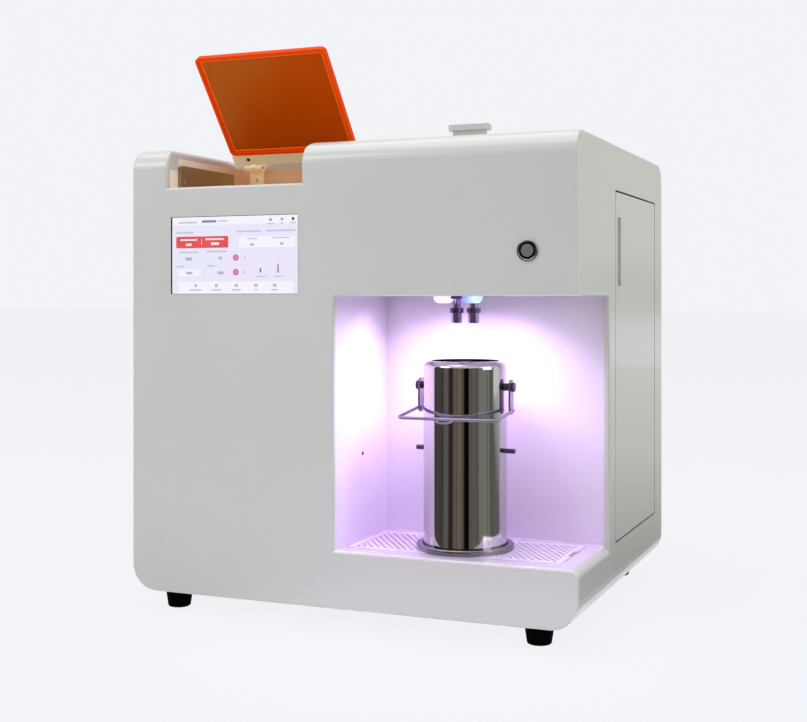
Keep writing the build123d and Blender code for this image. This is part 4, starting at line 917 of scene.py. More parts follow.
@dataclass
class Display:
    """Lit touch display in the cabinet's front: a pale page with cards, buttons and bars, and no lettering.

    Attributes:
        corner: Lower left corner of the window, X and Z.
        size: Width and height of the window.
        face: Y of the lit page.
        lift: How far each layer stands off the one below.
        shade_seal: Thickness of the black seal that lines the window, painted shade at its cut edge.
        shade_seal_face: Y of the seal's rear edge.
        shade_seal_depth: Depth of the seal, forwards from there.
        layers: Name, sRGB hex, second hex that it drifts towards or none, height in layers, and boxes of each
            layer. A box is its middle, width and height in shares of the window, from the lower left, and its
            corner radius in millimetres.
    """

    corner: tuple[float, float] = (-208.6 * MM, 355.2 * MM)
    size: tuple[float, float] = (160.0 * MM, 86.4 * MM)
    face: float = -207.55 * MM
    lift: float = 0.08 * MM
    shade_seal: float = 0.45 * MM
    shade_seal_face: float = -207.5 * MM
    shade_seal_depth: float = 2.3 * MM
    layers: tuple = (
        ("display_edge", "#FFFFFF", "", 1, ((0.5, 0.5, 1.0, 1.0, 0.0),)),
        ("display_page", "#E9EBFE", "#EFE6FB", 2, ((0.503, 0.497, 0.985, 0.975, 0.0),)),
        ("display_cards", "#F6F6FF", "#FAF6FF", 3, (
            (0.754, 0.662, 0.435, 0.141, 1.5), (0.144, 0.277, 0.18, 0.087, 1.2),
            (0.503, 0.086, 0.90, 0.150, 1.2), (0.5, 0.938, 0.975, 0.095, 0.5))),
        ("display_banner", "#EA5558", "#E24A50", 4, ((0.244, 0.67, 0.418, 0.15, 1.5),)),
        ("display_round_rims", "#B84C98", "", 4, (
            (0.512, 0.466, 0.045, 0.080, 3.45), (0.512, 0.281, 0.045, 0.080, 3.45))),
        ("display_round_buttons", "#DC84BE", "", 5, (
            (0.512, 0.466, 0.033, 0.058, 2.5), (0.512, 0.281, 0.033, 0.058, 2.5))),
        ("display_bars", "#B0489A", "", 4, (
            (0.705, 0.300, 0.0125, 0.052, 0.3), (0.840, 0.322, 0.0098, 0.107, 0.3))),
        ("display_scales", "#F3E4F8", "", 3, (
            (0.712, 0.42, 0.003, 0.19, 0.1), (0.846, 0.43, 0.003, 0.12, 0.1))),
        ("display_captions", "#C6C8DA", "", 4, (
            (0.105, 0.794, 0.140, 0.022, 0.3), (0.614, 0.797, 0.190, 0.020, 0.3),
            (0.860, 0.800, 0.220, 0.020, 0.3), (0.137, 0.540, 0.155, 0.020, 0.3),
            (0.360, 0.548, 0.155, 0.020, 0.3), (0.068, 0.358, 0.066, 0.020, 0.3),
            (0.316, 0.364, 0.062, 0.020, 0.3), (0.640, 0.702, 0.080, 0.014, 0.3),
            (0.862, 0.710, 0.135, 0.014, 0.3), (0.712, 0.222, 0.083, 0.014, 0.3),
            (0.842, 0.224, 0.072, 0.014, 0.3), (0.785, 0.888, 0.055, 0.016, 0.3),
            (0.868, 0.892, 0.020, 0.016, 0.3), (0.955, 0.896, 0.045, 0.016, 0.3))),
        ("display_header_strip", "#DCC8DA", "", 4, (
            (0.130, 0.925, 0.15, 0.026, 0.4), (0.41, 0.937, 0.07, 0.022, 0.4))),
        ("display_header_mark", "#8480B4", "", 4, ((0.30, 0.935, 0.115, 0.030, 0.4),)),
        ("display_figures", "#B4B5C8", "", 4, (
            (0.138, 0.455, 0.055, 0.040, 0.6), (0.390, 0.462, 0.028, 0.036, 0.6),
            (0.141, 0.273, 0.050, 0.032, 0.6), (0.393, 0.273, 0.048, 0.036, 0.6),
            (0.640, 0.628, 0.026, 0.030, 0.5), (0.868, 0.635, 0.026, 0.030, 0.5),
            (0.583, 0.466, 0.012, 0.022, 0.4), (0.583, 0.281, 0.012, 0.022, 0.4))),
        ("display_icons", "#B4B6C6", "", 4, (
            (0.193, 0.111, 0.018, 0.040, 0.6), (0.358, 0.111, 0.020, 0.040, 0.6),
            (0.516, 0.111, 0.026, 0.034, 0.6), (0.670, 0.111, 0.026, 0.034, 0.6),
            (0.814, 0.111, 0.028, 0.036, 0.6), (0.193, 0.055, 0.095, 0.015, 0.3),
            (0.358, 0.055, 0.075, 0.015, 0.3), (0.516, 0.055, 0.072, 0.015, 0.3),
            (0.670, 0.055, 0.024, 0.015, 0.3), (0.814, 0.055, 0.050, 0.015, 0.3))),
        ("display_menu_icons", "#C49AB4", "", 4, (
            (0.782, 0.938, 0.024, 0.034, 0.9), (0.870, 0.942, 0.020, 0.034, 0.9))),
        ("display_menu_dot", "#4A4650", "", 4, ((0.954, 0.944, 0.022, 0.040, 1.7),)),
        ("display_banner_figures", "#FBE3E6", "", 5, (
            (0.137, 0.701, 0.135, 0.022, 0.4), (0.344, 0.706, 0.145, 0.022, 0.4),
            (0.137, 0.640, 0.046, 0.032, 0.5), (0.348, 0.648, 0.064, 0.034, 0.5),
            (0.241, 0.67, 0.004, 0.07, 0.1))),
    )

    def build(self, shop: Workshop) -> None:
        """Builds the page and everything on it.

        Args:
            shop: Maker of pieces.
        """
        for name, colour, shade, layer, boxes in self.layers:
            parts = [self.card(box, self.face - (layer - 1) * self.lift) for box in boxes]
            pixels = Lit(name + "_pixels", colour, 0.35, 0.96, shade)
            shop.piece(name, *merged(parts), pixels, Body.CABINET, "glass_screen")
        self.lining(shop)

    def card(self, box: tuple, rear: float) -> tuple[np.ndarray, list]:
        """One flat box of the page.

        Args:
            box: Its middle, width and height in shares of the window, and its corner radius in millimetres.
            rear: Y of its rear face.

        Returns:
            Points and faces.
        """
        centre_x, centre_z, width, height, radius = box
        wide, high = width * self.size[0], height * self.size[1]
        outline = rounded_outline(wide, high, max(min(radius * MM, wide / 2, high / 2), 0.01 * MM), 5)
        points, faces = slab(outline, self.lift)
        x = self.corner[0] + centre_x * self.size[0] + points[:, 0]
        z = self.corner[1] + centre_z * self.size[1] + points[:, 1]
        return np.column_stack([x, rear - points[:, 2], z]), faces

    def lining(self, shop: Workshop) -> None:
        """Lines the window's cut edge with a black seal that paints the shade there, a rectangular tube of
        four walls.

        Args:
            shop: Maker of pieces.
        """
        # Painted shade: a black lining stands where the window's cut edge lies in shade
        outer = rounded_outline(*self.size, 0.02 * MM, 2)
        inner = rounded_outline(*(side - 2 * self.shade_seal for side in self.size), 0.02 * MM, 2)
        points, faces = framed(outer, inner, -self.shade_seal_depth)
        middle = np.array(self.corner) + np.array(self.size) / 2
        points = np.column_stack([middle[0] + points[:, 0], self.shade_seal_face + points[:, 2],
                                  middle[1] + points[:, 1]])
        shop.piece("display_window_shade_seal", points, [face[::-1] for face in faces], BLACK_RUBBER, Body.CABINET,
                   "foot_rubber")


@dataclass
class BayLamps:
    """The lamps in the bay's ceiling: two small ones that wash the walls, and a soft violet one over the bay.

    Attributes:
        places: X, Y and Z of each small lamp.
        size: Width and depth of each small lamp.
        power: Watts of each small lamp.
        colour: Linear colour of the small lamps.
        spread: Angle of their cone in degrees.
        soft_place: X, Y and Z of the soft lamp.
        soft_size: Width and depth of the soft lamp.
        soft_power: Watts of the soft lamp.
        soft_colour: Linear colour of the soft lamp.
        soft_spread: Angle of its cone in degrees.
    """

    places: tuple = ((0.101, -0.163, 0.343), (0.133, -0.163, 0.343))
    size: tuple[float, float] = (20.0 * MM, 20.0 * MM)
    power: float = 0.17
    colour: tuple[float, float, float] = (0.88, 0.79, 1.0)
    spread: float = 180.0
    soft_place: tuple[float, float, float] = (0.110, -0.135, 0.346)
    soft_size: tuple[float, float] = (200.0 * MM, 110.0 * MM)
    soft_power: float = 0.64
    soft_colour: tuple[float, float, float] = (0.74, 0.50, 1.0)
    soft_spread: float = 122.0

    def hang(self, name: str, place: tuple, size: tuple, power: float, colour: tuple,
             spread: float) -> None:
        """Hangs one lamp that shines straight down.

        Args:
            name: Name of the lamp.
            place: Its centre.
            size: Width and depth.
            power: Watts.
            colour: Linear colour.
            spread: Angle of its cone in degrees.
        """
        lamp = area_lamp(name, "ELLIPSE", size, power)
        lamp.data.color = colour
        lamp.data.spread = math.radians(spread)
        lamp.location = place
        lamp.visible_camera = False
        lamp.visible_glossy = False

    def build(self) -> None:
        """Hangs the three lamps."""
        for number, place in enumerate(self.places):
            self.hang(f"bay_lamp_{number}", place, self.size, self.power, self.colour, self.spread)
        self.hang("bay_soft_lamp", self.soft_place, self.soft_size, self.soft_power, self.soft_colour,
                  self.soft_spread)


@dataclass
class Studio:
    """Plain pale studio: a floor, soft boxes and the camera, with a dark room round it for shiny surfaces.

    The dark curtain, the mat and the far wall are never seen straight: only what is shiny mirrors them.

    Attributes:
        camera_place: Where the camera stands.
        heading: Its turn from +Y towards -X, in degrees.
        lens: Focal length in millimetres on a 36 mm wide sensor.
        rise: Vertical shift of the lens, as a share of the width.
        pale: Colour of the floor and the background.
        floor_reach: Half the floor's width.
        floor_shine: Strength of the floor's own shine.
        floor_share: Share of that shine in what the eye sees, beside the light and shadow that fall on it.
        fill_colour: Colour of the even light in the room.
        fill: Strength of the even light.
        mirrored: Strength of the background in shiny surfaces.
        softboxes: Name, place, target, width and height, and watts of each soft box.
        bay_axis: X and Y of the middle of the bay, that the curtain hangs round.
        curtain_turn: Angles off -Y towards +X, in degrees, where the curtain begins and ends.
        curtain_profile: Distance from the bay's middle and height of the curtain's rows.
        fold_turn: Angles between which the curtain's folds are laid out.
        folds: Angle and colour of each fold.
    """

    camera_place: tuple[float, float, float] = (0.585, -1.450, 0.351)
    heading: float = 22.4
    lens: float = 57.55
    rise: float = -0.0781
    pale: str = "#F2F3F7"
    floor_reach: float = 30.0
    floor_shine: float = 1.02
    floor_share: float = 0.94
    fill_colour: str = "#EEF0F2"
    fill: float = 0.42
    mirrored: float = 0.9
    softboxes: tuple = (
        ("overhead_softbox", (-0.2, -0.2, 2.4), (0.0, 0.0, 0.3), (2.2, 2.2), 28.0),
        ("front_left_softbox", (-1.8, -2.2, 1.6), (0.0, 0.0, 0.3), (1.4, 1.4), 22.0),
        ("right_softbox", (2.4, -0.4, 1.1), (0.2, 0.0, 0.3), (1.2, 1.6), 11.0),
    )
    bay_axis: tuple[float, float] = (0.117, -0.140)
    curtain_turn: tuple[float, float] = (-75.0, 102.0)
    curtain_profile: tuple = ((0.32, 0.003), (1.2, 0.003), (2.3, 0.003), (2.6, 0.08), (2.7, 0.35), (2.7, 1.5))
    fold_turn: tuple[float, float] = (-80.0, 120.0)
    folds: tuple = (
        (-78, "#3A3A38"), (-50, "#454542"), (-45, "#35332F"), (-38, "#5C5C57"), (-27, "#5A5852"),
        (-25, "#2C2824"), (-15, "#2A2622"), (-12, "#5E574C"), (4, "#675F53"), (15, "#4E463C"),
        (17.5, "#080404"), (29, "#0A0605"), (31, "#5E5E55"), (50, "#57574F"), (53, "#45453F"),
        (55, "#6E7066"), (75, "#787A6F"), (90, "#64655C"), (102, "#4C4C44"),
    )

    def camera(self) -> None:
        """Sets up the camera, level and turned to its heading."""
        data = bpy.data.cameras.new("studio_camera")
        data.sensor_width = 36.0
        data.lens = self.lens
        data.shift_y = self.rise
        data.clip_start = 0.01
        thing = placed("studio_camera", data)
        thing.location = self.camera_place
        thing.rotation_euler = (math.radians(90), 0.0, math.radians(self.heading))
        bpy.context.scene.camera = thing

    def softbox(self, name: str, place: tuple, target: tuple, size: tuple, power: float) -> None:
        """Hangs one soft box.

        Args:
            name: Name of the light.
            place: Where it hangs.
            target: What it points at.
            size: Width and height.
            power: Watts.
        """
        box = area_lamp(name, "RECTANGLE", size, power)
        box.location = place
        aim = np.array(target) - np.array(place)
        tilt = math.atan2(math.hypot(aim[0], aim[1]), -aim[2])
        box.rotation_euler = (tilt, 0.0, math.atan2(-aim[0], aim[1]))

    def pale_surface(self, name: str) -> bpy.types.Material:
        """Makes the floor's material: as pale as the background, with the machine's shadow left on it.

        Args:
            name: Name of the material.

        Returns:
            The material.
        """
        material, tree = bare_material(name)
        diffuse = add_node(tree, "ShaderNodeBsdfDiffuse", inputs={"Color": linear(self.pale)})
        shine = add_node(tree, "ShaderNodeEmission", inputs={
            "Color": linear(self.pale), "Strength": self.floor_shine})
        path = add_node(tree, "ShaderNodeLightPath")
        seen = add_node(tree, "ShaderNodeMath", {"operation": "MAXIMUM"}, {
            0: path.outputs["Is Camera Ray"], 1: path.outputs["Is Glossy Ray"]})
        seen = add_node(tree, "ShaderNodeMath", {"operation": "MAXIMUM"}, {
            0: seen.outputs[0], 1: path.outputs["Is Transmission Ray"]})
        share = add_node(tree, "ShaderNodeMath", {"operation": "MULTIPLY"}, {
            0: seen.outputs[0], 1: self.floor_share})
        mix = add_node(tree, "ShaderNodeMixShader", inputs={
            0: share.outputs[0], 1: diffuse.outputs[0], 2: shine.outputs[0]})
        add_node(tree, "ShaderNodeOutputMaterial", inputs={"Surface": mix.outputs[0]})
        return material

    def floor(self) -> None:
        """Lays the floor, one square under the machine."""
        corners = self.floor_reach * np.array([(-1, -1, 0), (1, -1, 0), (1, 1, 0), (-1, 1, 0)])
        self.surface("studio_floor", corners, [(0, 1, 2, 3)], self.pale_surface("studio_floor_paint"))

    def surface(self, name: str, points: np.ndarray, faces: list,
                material: bpy.types.Material) -> bpy.types.Object:
        """Puts up a part of the room.

        Args:
            name: Name of the part.
            points: Corners, one row each.
            faces: Corner numbers of each face.
            material: What it looks like.

        Returns:
            The new object.
        """
        mesh = bpy.data.meshes.new(name)
        mesh.from_pydata(points.tolist(), [], faces)
        mesh.materials.append(material)
        thing = placed(name, mesh)
        return thing

    def glimpsed(self, name: str, points: np.ndarray, faces: list, material: bpy.types.Material) -> None:
        """Puts up a part of the room that shows only as a reflection in shiny surfaces.

        Args:
            name: Name of the part.
            points: Corners, one row each.
            faces: Corner numbers of each face.
            material: What it looks like.
        """
        thing = self.surface(name, points, faces, material)
        thing.visible_camera = False
        thing.visible_diffuse = False
        thing.visible_shadow = False
        thing.visible_transmission = False

    def striped(self, name: str) -> bpy.types.Material:
        """Makes the curtain's material: folds that run out from the bay and up, from near black to grey.

        Args:
            name: Name of the material.

        Returns:
            The material.
        """
        material, tree = bare_material(name)
        place = add_node(tree, "ShaderNodeTexCoord").outputs["Object"]
        moved = add_node(tree, "ShaderNodeMapping", {"vector_type": "TEXTURE"}, {
            "Vector": place, "Location": (*self.bay_axis, 0.0)})
        axes = add_node(tree, "ShaderNodeSeparateXYZ", inputs={0: moved.outputs[0]})
        minus = add_node(tree, "ShaderNodeMath", {"operation": "MULTIPLY"}, {0: axes.outputs["Y"], 1: -1.0})
        turn = add_node(tree, "ShaderNodeMath", {"operation": "ARCTAN2"}, {
            0: axes.outputs["X"], 1: minus.outputs[0]})
        first, last = self.fold_turn
        along = add_node(tree, "ShaderNodeMapRange", inputs={
            "Value": turn.outputs[0], "From Min": math.radians(first), "From Max": math.radians(last)})
        ramp = add_node(tree, "ShaderNodeValToRGB", inputs={0: along.outputs[0]})
        ramp_stops(ramp, [((angle - first) / (last - first), linear(colour)) for angle, colour in self.folds])
        noise = add_node(tree, "ShaderNodeTexNoise", {"noise_dimensions": "1D"}, {
            "W": turn.outputs[0], "Scale": 9.0, "Detail": 3.0, "Roughness": 0.6})
        level = add_node(tree, "ShaderNodeMapRange", inputs={
            "Value": noise.outputs["Fac"], "From Min": 0.3, "From Max": 0.7, "To Min": 0.95, "To Max": 1.9})
        shine = add_node(tree, "ShaderNodeEmission", inputs={
            "Color": ramp.outputs[0], "Strength": level.outputs[0]})
        add_node(tree, "ShaderNodeOutputMaterial", inputs={"Surface": shine.outputs[0]})
        return material

    def curtain(self) -> None:
        """Hangs a dark curtain round the front and right, from the floor by the bay out and up.

        Its profile of distance and height is carried round the bay's middle: x = distance * sin(angle),
        y = -distance * cos(angle), z = height.
        """
        angles = np.radians(np.linspace(*self.curtain_turn, 96))
        reach, height = np.array(self.curtain_profile).T
        x = self.bay_axis[0] + np.outer(np.sin(angles), reach)
        y = self.bay_axis[1] - np.outer(np.cos(angles), reach)
        z = np.broadcast_to(height, x.shape)
        points = np.stack([x, y, z], axis=2).reshape(-1, 3)
        count = len(reach)
        start = (np.arange(len(angles) - 1)[:, None] * count + np.arange(count - 1)[None, :]).reshape(-1)
        faces = np.stack([start, start + 1, start + count + 1, start + count], axis=1).tolist()
        self.glimpsed("studio_curtain", points, faces, self.striped("studio_curtain_cloth"))

    def shaded(self, name: str, axis: str, reach: tuple[float, float], stops: tuple) -> bpy.types.Material:
        """Makes a part of the room that shines by itself, in tones that change along one axis.

        Args:
            name: Name of the material.
            axis: "Y" or "Z".
            reach: Where the tones begin and end along the axis.
            stops: Place from 0 to 1 and colour of each tone.

        Returns:
            The material.
        """
        material, tree = bare_material(name)
        axes = add_node(tree, "ShaderNodeSeparateXYZ", inputs={
            0: add_node(tree, "ShaderNodeTexCoord").outputs["Object"]})
        along = add_node(tree, "ShaderNodeMapRange", inputs={
            "Value": axes.outputs[axis], "From Min": reach[0], "From Max": reach[1]})
        ramp = add_node(tree, "ShaderNodeValToRGB", inputs={0: along.outputs[0]})
        ramp_stops(ramp, [(place, linear(colour)) for place, colour in stops])
        shine = add_node(tree, "ShaderNodeEmission", inputs={"Color": ramp.outputs[0], "Strength": 1.0})
        add_node(tree, "ShaderNodeOutputMaterial", inputs={"Surface": shine.outputs[0]})
        return material

    def beyond(self) -> None:
        """Lays a mat behind the machine and stands a wall behind that, which only its side panel mirrors."""
        mat = self.shaded("studio_mat_felt", "Y", (0.0, 5.0), (
            (0.05, "#6E7071"), (0.12, "#9EA19F"), (0.2, "#B3B7B4"), (0.3, "#C9CCC8"), (0.68, "#D6D9D4")))
        points = np.array([(0.275, -0.1, 0.002), (3.2, -0.1, 0.002), (3.2, 5.0, 0.002), (0.275, 5.0, 0.002)])
        self.glimpsed("studio_mat", points, [(0, 1, 2, 3)], mat)
        wall = self.shaded("studio_far_wall_paint", "Z", (0.0, 2.0), (
            (0.04, "#F2F3F7"), (0.1, "#F0F1F4"), (0.15, "#BFC0BC"), (0.22, "#C4C5C0"), (0.3, "#DADBD4")))
        points = np.array([(0.5, 5.2, 0.0), (4.5, 5.2, 0.0), (4.5, 5.2, 6.0), (0.5, 5.2, 6.0)])
        self.glimpsed("studio_far_wall", points, [(0, 1, 2, 3)], wall)

    def world(self) -> None:
        """Fills the room with even light, and shows the pale background to the eye, metal and glass."""
        world = bpy.data.worlds.new("studio_world")
        bpy.context.scene.world = world
        world.use_nodes = True
        tree = world.node_tree
        tree.nodes.clear()
        fill = add_node(tree, "ShaderNodeBackground", inputs={
            "Color": linear(self.fill_colour), "Strength": self.fill})
        shown = add_node(tree, "ShaderNodeBackground", inputs={"Color": linear(self.pale), "Strength": 1.0})
        path = add_node(tree, "ShaderNodeLightPath")
        glossy = add_node(tree, "ShaderNodeMath", {"operation": "MULTIPLY"}, {
            0: path.outputs["Is Glossy Ray"], 1: self.mirrored})
        seen = add_node(tree, "ShaderNodeMath", {"operation": "MAXIMUM"}, {
            0: path.outputs["Is Camera Ray"], 1: glossy.outputs[0]})
        seen = add_node(tree, "ShaderNodeMath", {"operation": "MAXIMUM"}, {
            0: seen.outputs[0], 1: path.outputs["Is Transmission Ray"]})
        mix = add_node(tree, "ShaderNodeMixShader", inputs={
            0: seen.outputs[0], 1: fill.outputs[0], 2: shown.outputs[0]})
        add_node(tree, "ShaderNodeOutputWorld", inputs={"Surface": mix.outputs[0]})

    def build(self) -> None:
        """Sets up everything outside the machine."""
        self.camera()
        self.floor()
        self.curtain()
        self.beyond()
        self.world()
        for softbox in self.softboxes:
            self.softbox(*softbox)
        bpy.context.scene.view_settings.view_transform = "Standard"


def on_lid(up: float | np.ndarray, off: float | np.ndarray) -> tuple:
    """Carries places on the lid's own plane to where they stand while it is open.

    It turns them by the opening angle a about the hinge line: y = hinge - up cos a + off sin a,
    z = hinge + up sin a + off cos a.

    Args:
        up: Distance up the lid from the hinge line.
        off: Height above the hinge line, square to the lid.

    Returns:
        Y and Z.
    """
    y = LID_HINGE[0] - up * math.cos(LID_OPENED) + off * math.sin(LID_OPENED)
    z = LID_HINGE[1] + up * math.sin(LID_OPENED) + off * math.cos(LID_OPENED)
    return y, z


@dataclass
class LidPaneGlowLine:
    """Painted highlight: a glowing line round the lid's thin pane, where the light leaves the edge of the
    acrylic.

    Attributes:
        middle: X of the lid's middle.
        half_width: Half the pane's width.
        reach: Distance from the hinge line to the pane's near and far edge.
        under: Height of the pane's underside above the hinge line, square to the lid.
        line: Width of the painted glowing line.
        thick: Thickness of the line.
        sunk: How far it is sunk into the pane.
    """

    middle: float = -129.5 * MM
    half_width: float = 78.6 * MM
    reach: tuple[float, float] = (25.5 * MM, 150.5 * MM)
    under: float = 1.0 * MM
    line: float = 0.9 * MM
    thick: float = 0.5 * MM
    sunk: float = 0.02 * MM

    def build(self, shop: Workshop) -> None:
        """Lays the painted glowing line in the step, as a frame that is turned with the lid.

        Args:
            shop: Maker of pieces.
        """
        size = np.array([2 * self.half_width, self.reach[1] - self.reach[0]]) - 0.1 * MM
        outer = rounded_outline(*size, 2.9 * MM, 5)
        inner = rounded_outline(*(size - 2 * self.line), 2.2 * MM, 5)
        points, faces = framed(outer, inner, self.thick)
        up = points[:, 1] + sum(self.reach) / 2
        off = self.under - points[:, 2] + self.sunk
        y, z = on_lid(up, off)
        # Painted highlight: the glowing line round the pane
        shop.piece("lid_pane_painted_glow_line", np.column_stack([self.middle - points[:, 0], y, z]),
                   [face[::-1] for face in faces], PAINTED_EDGE_GLOW, Body.LID, "lid_orange")


@dataclass
class PushButton:
    """Turned bezel of the push button, with a rolled rim and a black ring between it and the cap.

    Attributes:
        rim: Outer radius of the rolled rim.
        roll: Radius of the roll itself.
        barrel: Radius of the barrel behind the panel.
        bore: Radius of the bore that the cap moves in.
        proud: How far the rim stands off the panel.
    """

    rim: float = 11.2 * MM
    roll: float = 1.3 * MM
    barrel: float = 9.4 * MM
    bore: float = 7.0 * MM
    proud: float = 2.0 * MM

    def build(self, shop: Workshop) -> None:
        """Turns the bezel in place of the frame's one, and lays the ring in it.

        The roll is half a circle: r = rim - roll + roll cos t, y = seat - roll sin t, with t from 0 to 180
        degrees.

        Args:
            shop: Maker of pieces.
        """
        low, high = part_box("button_bezel")
        centre = ((low[0] + high[0]) / 2, (low[2] + high[2]) / 2)
        seat = PANEL_FACE - self.proud + self.roll
        turns = np.linspace(0.0, math.pi, 13)
        crest = np.column_stack([self.rim - self.roll + self.roll * np.cos(turns),
                                 seat - self.roll * np.sin(turns)])
        well = self.rim - 2 * self.roll
        barrel = [(self.barrel, high[1]), (self.barrel, PANEL_FACE), (self.rim, PANEL_FACE)]
        funnel = [(well, seat + 0.3 * MM), (self.bore, seat + 0.5 * MM), (self.bore, high[1])]
        profile = np.vstack([barrel, crest, funnel])
        points, faces = turned(profile, centre)
        bezel = shop.piece("button_rolled_bezel", points, faces, BEZEL, Body.CABINET, "polished_steel", True)
        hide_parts("button_bezel")
        ring = np.array([(well - 0.05 * MM, seat + 0.25 * MM), (well - 0.05 * MM, seat - 0.1 * MM),
                         (self.bore + 0.05 * MM, seat + 0.1 * MM), (self.bore + 0.05 * MM, seat + 0.4 * MM)])
        points, faces = turned(ring, centre)
        shop.piece("button_black_ring", points, [face[::-1] for face in faces], BLACK_RUBBER, Body.CABINET,
                   "foot_rubber", True)


@dataclass
class BailLoop:
    """Wire loop welded to the middle of the bail's front bar, for a finger.

    Attributes:
        centre: Middle of the loop.
        half: Half its width, and half its depth.
        wire: Radius of the wire.
        dip: Angle by which it hangs below level, in degrees.
    """

    centre: tuple[float, float, float] = (117.0 * MM, -205.6 * MM, 223.6 * MM)
    half: tuple[float, float] = (8.6 * MM, 4.4 * MM)
    wire: float = 0.95 * MM
    dip: float = 22.0

    def build(self, shop: Workshop) -> None:
        """Bends the loop: a tube of ten points round an ellipse of forty.

        Args:
            shop: Maker of pieces.
        """
        turns = np.linspace(0.0, 2 * math.pi, 41)[:-1]
        round_wire = np.linspace(0.0, 2 * math.pi, 11)[:-1]
        across, away = np.cos(turns), np.sin(turns)
        lean = math.radians(self.dip)
        level = np.array([0.0, math.cos(lean), math.sin(lean)])
        up = np.array([0.0, -math.sin(lean), math.cos(lean)])
        path = (np.array(self.centre) + np.outer(across * self.half[0], (1.0, 0.0, 0.0))
                + np.outer(away * self.half[1], level))
        out = np.outer(across / self.half[0], (1.0, 0.0, 0.0)) + np.outer(away / self.half[1], level)
        out /= np.linalg.norm(out, axis=1)[:, None]
        points = (path[:, None, :] + self.wire * (np.cos(round_wire)[None, :, None] * out[:, None, :]
                                                  + np.sin(round_wire)[None, :, None] * up))
        quads = lattice(len(turns), len(round_wire)).tolist()
        shop.piece("bail_finger_loop", points.reshape(-1, 3), quads, WIRE, Body.BAIL, "polished_steel", True)


@dataclass
class DripGrid:
    """Slotted plate over the drip tray, with every slot of its fine staggered pattern.

    Attributes:
        border: Width of the plain border.
        pitch: Distance between two columns, and length of one slot's cell.
        slot: Half width and half length of a slot.
        notch: Depth of the finger notch, half its inner width, and half its outer width.
        notch_shift: How far the notch sits behind the plate's middle.
    """

    border: float = 7.0 * MM
    pitch: tuple[float, float] = (3.9 * MM, 11.2 * MM)
    slot: tuple[float, float] = (1.55 * MM, 2.4 * MM)
    notch: tuple[float, float, float] = (4.0 * MM, 12.0 * MM, 16.0 * MM)
    notch_shift: float = 4.0 * MM

    def cell(self, size: tuple[float, float]) -> tuple[np.ndarray, np.ndarray]:
        """One cell's outer corners and slot outline, eight points each, round its middle.

        Args:
            size: Width and length of the cell.

        Returns:
            The two outlines, anticlockwise, one row of (x, y) each.
        """
        half_x, half_y = size[0] / 2, size[1] / 2
        wide, long = self.slot
        bevel = long - wide * 0.6
        outer = np.array([(half_x, -bevel), (half_x, bevel), (half_x, half_y), (-half_x, half_y),
                          (-half_x, bevel), (-half_x, -bevel), (-half_x, -half_y), (half_x, -half_y)])
        inner = np.array([(wide, -bevel), (wide, bevel), (wide * 0.4, long), (-wide * 0.4, long),
                          (-wide, bevel), (-wide, -bevel), (-wide * 0.4, -long), (wide * 0.4, -long)])
        return outer, inner

    def build(self, shop: Workshop) -> None:
        """Builds the plate in place of the frame's one: a border, then cells with and without a slot.

        Args:
            shop: Maker of pieces.
        """
        low, high = (np.array(corner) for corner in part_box("drip_grid"))
        middle, thick = (low + high) / 2, high[2] - low[2]
        field_size = high[:2] - low[:2] - 2 * self.border
        columns, rows = int(field_size[0] / self.pitch[0]), int(field_size[1] / self.pitch[1])
        size = (field_size[0] / columns, field_size[1] / rows)
        outer, inner = self.cell(size)
        points, faces = framed(outer, inner, thick)
        parts = []
        for column in range(columns):
            shift = column % 2
            x = (column + 0.5) * size[0] - field_size[0] / 2
            for row in range(rows - shift):
                y = (row + 0.5 + shift / 2) * size[1] - field_size[1] / 2
                parts.append((points + (x, y, 0.0), faces))
            for side in (-1, 1) * shift:
                half = np.array([(-1, -1), (1, -1), (1, 1), (-1, 1)]) * (size[0] / 2, size[1] / 4)
                plain_points, plain_faces = slab(half, thick)
                y = side * (field_size[1] / 2 - size[1] / 4)
                parts.append((plain_points + (x, y, 0.0), plain_faces))
        parts.append(self.edge(high[:2] - low[:2], field_size, thick))
        points, faces = merged(parts)
        plate = shop.piece("drip_grid_slotted", points + (middle[0], middle[1], low[2]), faces, GRID_STEEL,
                           Body.GRID, "stainless")
        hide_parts("drip_grid")

    def edge(self, whole: np.ndarray, inside: np.ndarray, thick: float) -> tuple[np.ndarray, list]:
        """The plain border with its rounded corners and finger notch.

        Args:
            whole: Width and length of the plate.
            inside: Width and length of the field of slots.
            thick: Thickness of the plate.

        Returns:
            Points and faces.
        """
        outer = rounded_outline(*whole, 4.0 * MM, 4)
        inner = rounded_outline(*inside, 0.02 * MM, 4)
        right = whole[0] / 2
        depth, flat, mouth = self.notch
        notch_y = self.notch_shift + np.array([-mouth, -flat, flat, mouth])
        notch_x = right - np.array([0.0, depth, depth, 0.0])
        outer = np.vstack([outer, np.column_stack([notch_x, notch_y])])
        inner = np.vstack([inner, np.column_stack([np.full(4, inside[0] / 2), notch_y])])
        return framed(outer, inner, thick)


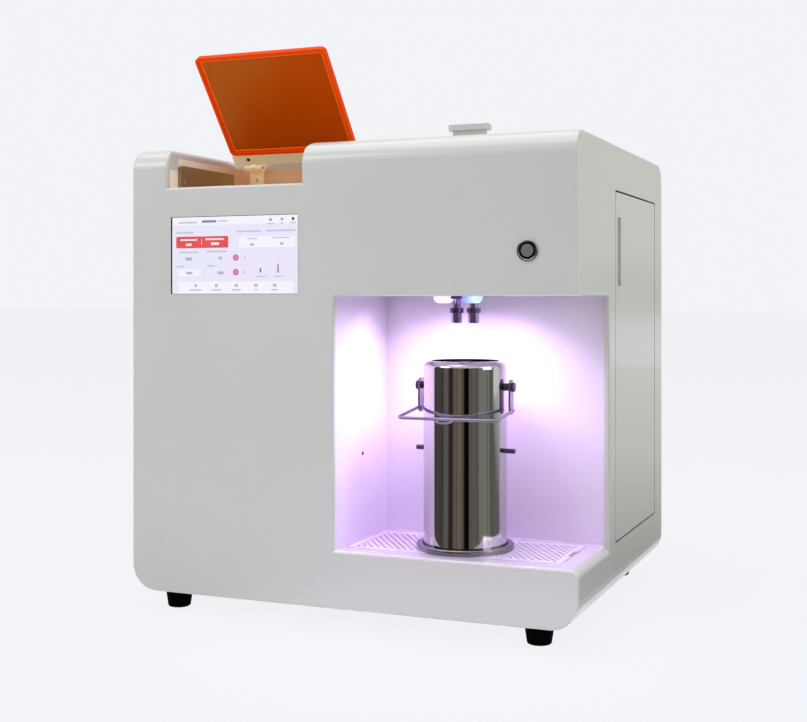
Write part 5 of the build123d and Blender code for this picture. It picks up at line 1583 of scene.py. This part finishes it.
@dataclass
class ScrewHead:
    """Low round screw head.

    Attributes:
        sunk: How far every head is sunk into its seat.
        name: Name of the piece.
        place: Middle of its head's seat.
        normal: Direction that it faces.
        body: What it rides on.
        radius: Radius of its head.
        head: Height of its head.
        finish: What it is made of.
        material_slot: The record's material slot.
    """

    name: str
    place: tuple[float, float, float]
    normal: tuple[float, float, float]
    body: Body
    radius: float = 2.0 * MM
    head: float = 0.7 * MM
    finish: Finish = BLACKENED
    material_slot: str = "foot_rubber"
    sunk: float = 0.03 * MM

    def build(self, shop: Workshop) -> None:
        """Builds the head: a round slab carried onto axes square to its normal, sunk a little into its seat.

        Args:
            shop: Maker of pieces.
        """
        turns = np.linspace(0.0, 2 * math.pi, 21)[:-1]
        points, faces = slab(self.radius * np.column_stack([np.cos(turns), np.sin(turns)]), self.head)
        normal = np.array(self.normal) / np.linalg.norm(self.normal)
        side = np.cross(normal, (1.0, 0.0, 0.0) if abs(normal[0]) < 0.9 else (0.0, 1.0, 0.0))
        side /= np.linalg.norm(side)
        axes = np.stack([side, np.cross(normal, side), normal])
        points = np.array(self.place) - self.sunk * normal + points @ axes
        shop.piece(self.name, points, faces, self.finish, self.body, self.material_slot)


def screw_heads() -> list[ScrewHead]:
    """Lists the screws that show: in the bay's wall, a collar, the hinge plate and the pump housings.

    Returns:
        The heads, in the order that they are built.
    """
    heads = [
        ScrewHead("bay_wall_screw", (-6.0 * MM, -136.2 * MM, 177.6 * MM), (1.0, 0.0, 0.0), Body.CABINET),
        ScrewHead("collar_set_screw", (112.55 * MM, -145.25 * MM, 337.8 * MM), (1.0, -1.0, 0.0), Body.CABINET,
                  radius=1.1 * MM, head=0.2 * MM)]
    y, z = on_lid(13.5 * MM, -1.5 * MM)
    under_lid = (0.0, -math.sin(LID_OPENED), -math.cos(LID_OPENED))
    for side, x in (("left", -192.5 * MM), ("right", -66.5 * MM)):
        heads.append(ScrewHead(f"hinge_plate_screw_{side}", (x, y, z), under_lid, Body.LID, radius=2.1 * MM))
    housing_face, pump_y, corner = 178.0 * MM, 60.0 * MM, 31.0 * MM
    for pump, pump_z in (("upper", 380.0 * MM), ("lower", 250.0 * MM)):
        for number, (over, up) in enumerate(((-1, -1), (1, -1), (1, 1), (-1, 1))):
            place = (housing_face, pump_y + over * corner, pump_z + up * corner)
            heads.append(ScrewHead(f"{pump}_pump_screw_{number}", place, (1.0, 0.0, 0.0), Body.CABINET,
                                   2.8 * MM, 1.6 * MM, SCREW, "stainless"))
    return heads


def lid_finish() -> TintedAcrylic:
    """Lays the lid's painted darker middle out on the lid's own plane.

    Returns:
        The lid's finish.
    """
    low, high = (np.array(corner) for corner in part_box("lid"))
    centre = (low + high) / 2
    return TintedAcrylic("dyed_acrylic_orange", "#EA4702", 0.22, centre=tuple(centre.tolist()),
                         turn=-LID_OPENED)


def main() -> None:
    """Builds the studio, dresses the frame and adds the machine's fine pieces."""
    logging.basicConfig(level=logging.INFO, format="%(message)s")
    bpy.ops.wm.read_factory_settings(use_empty=True)
    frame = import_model()
    shop = Workshop()
    Studio().build()
    shop.dress(frame, {**NODE_FINISHES, "lid": lid_finish()})
    Display().build(shop)
    LidPaneGlowLine().build(shop)
    for detail in (PushButton(), BailLoop(), DripGrid(), *screw_heads()):
        detail.build(shop)
    BayLamps().build()


if __name__ == "__main__":
    main()
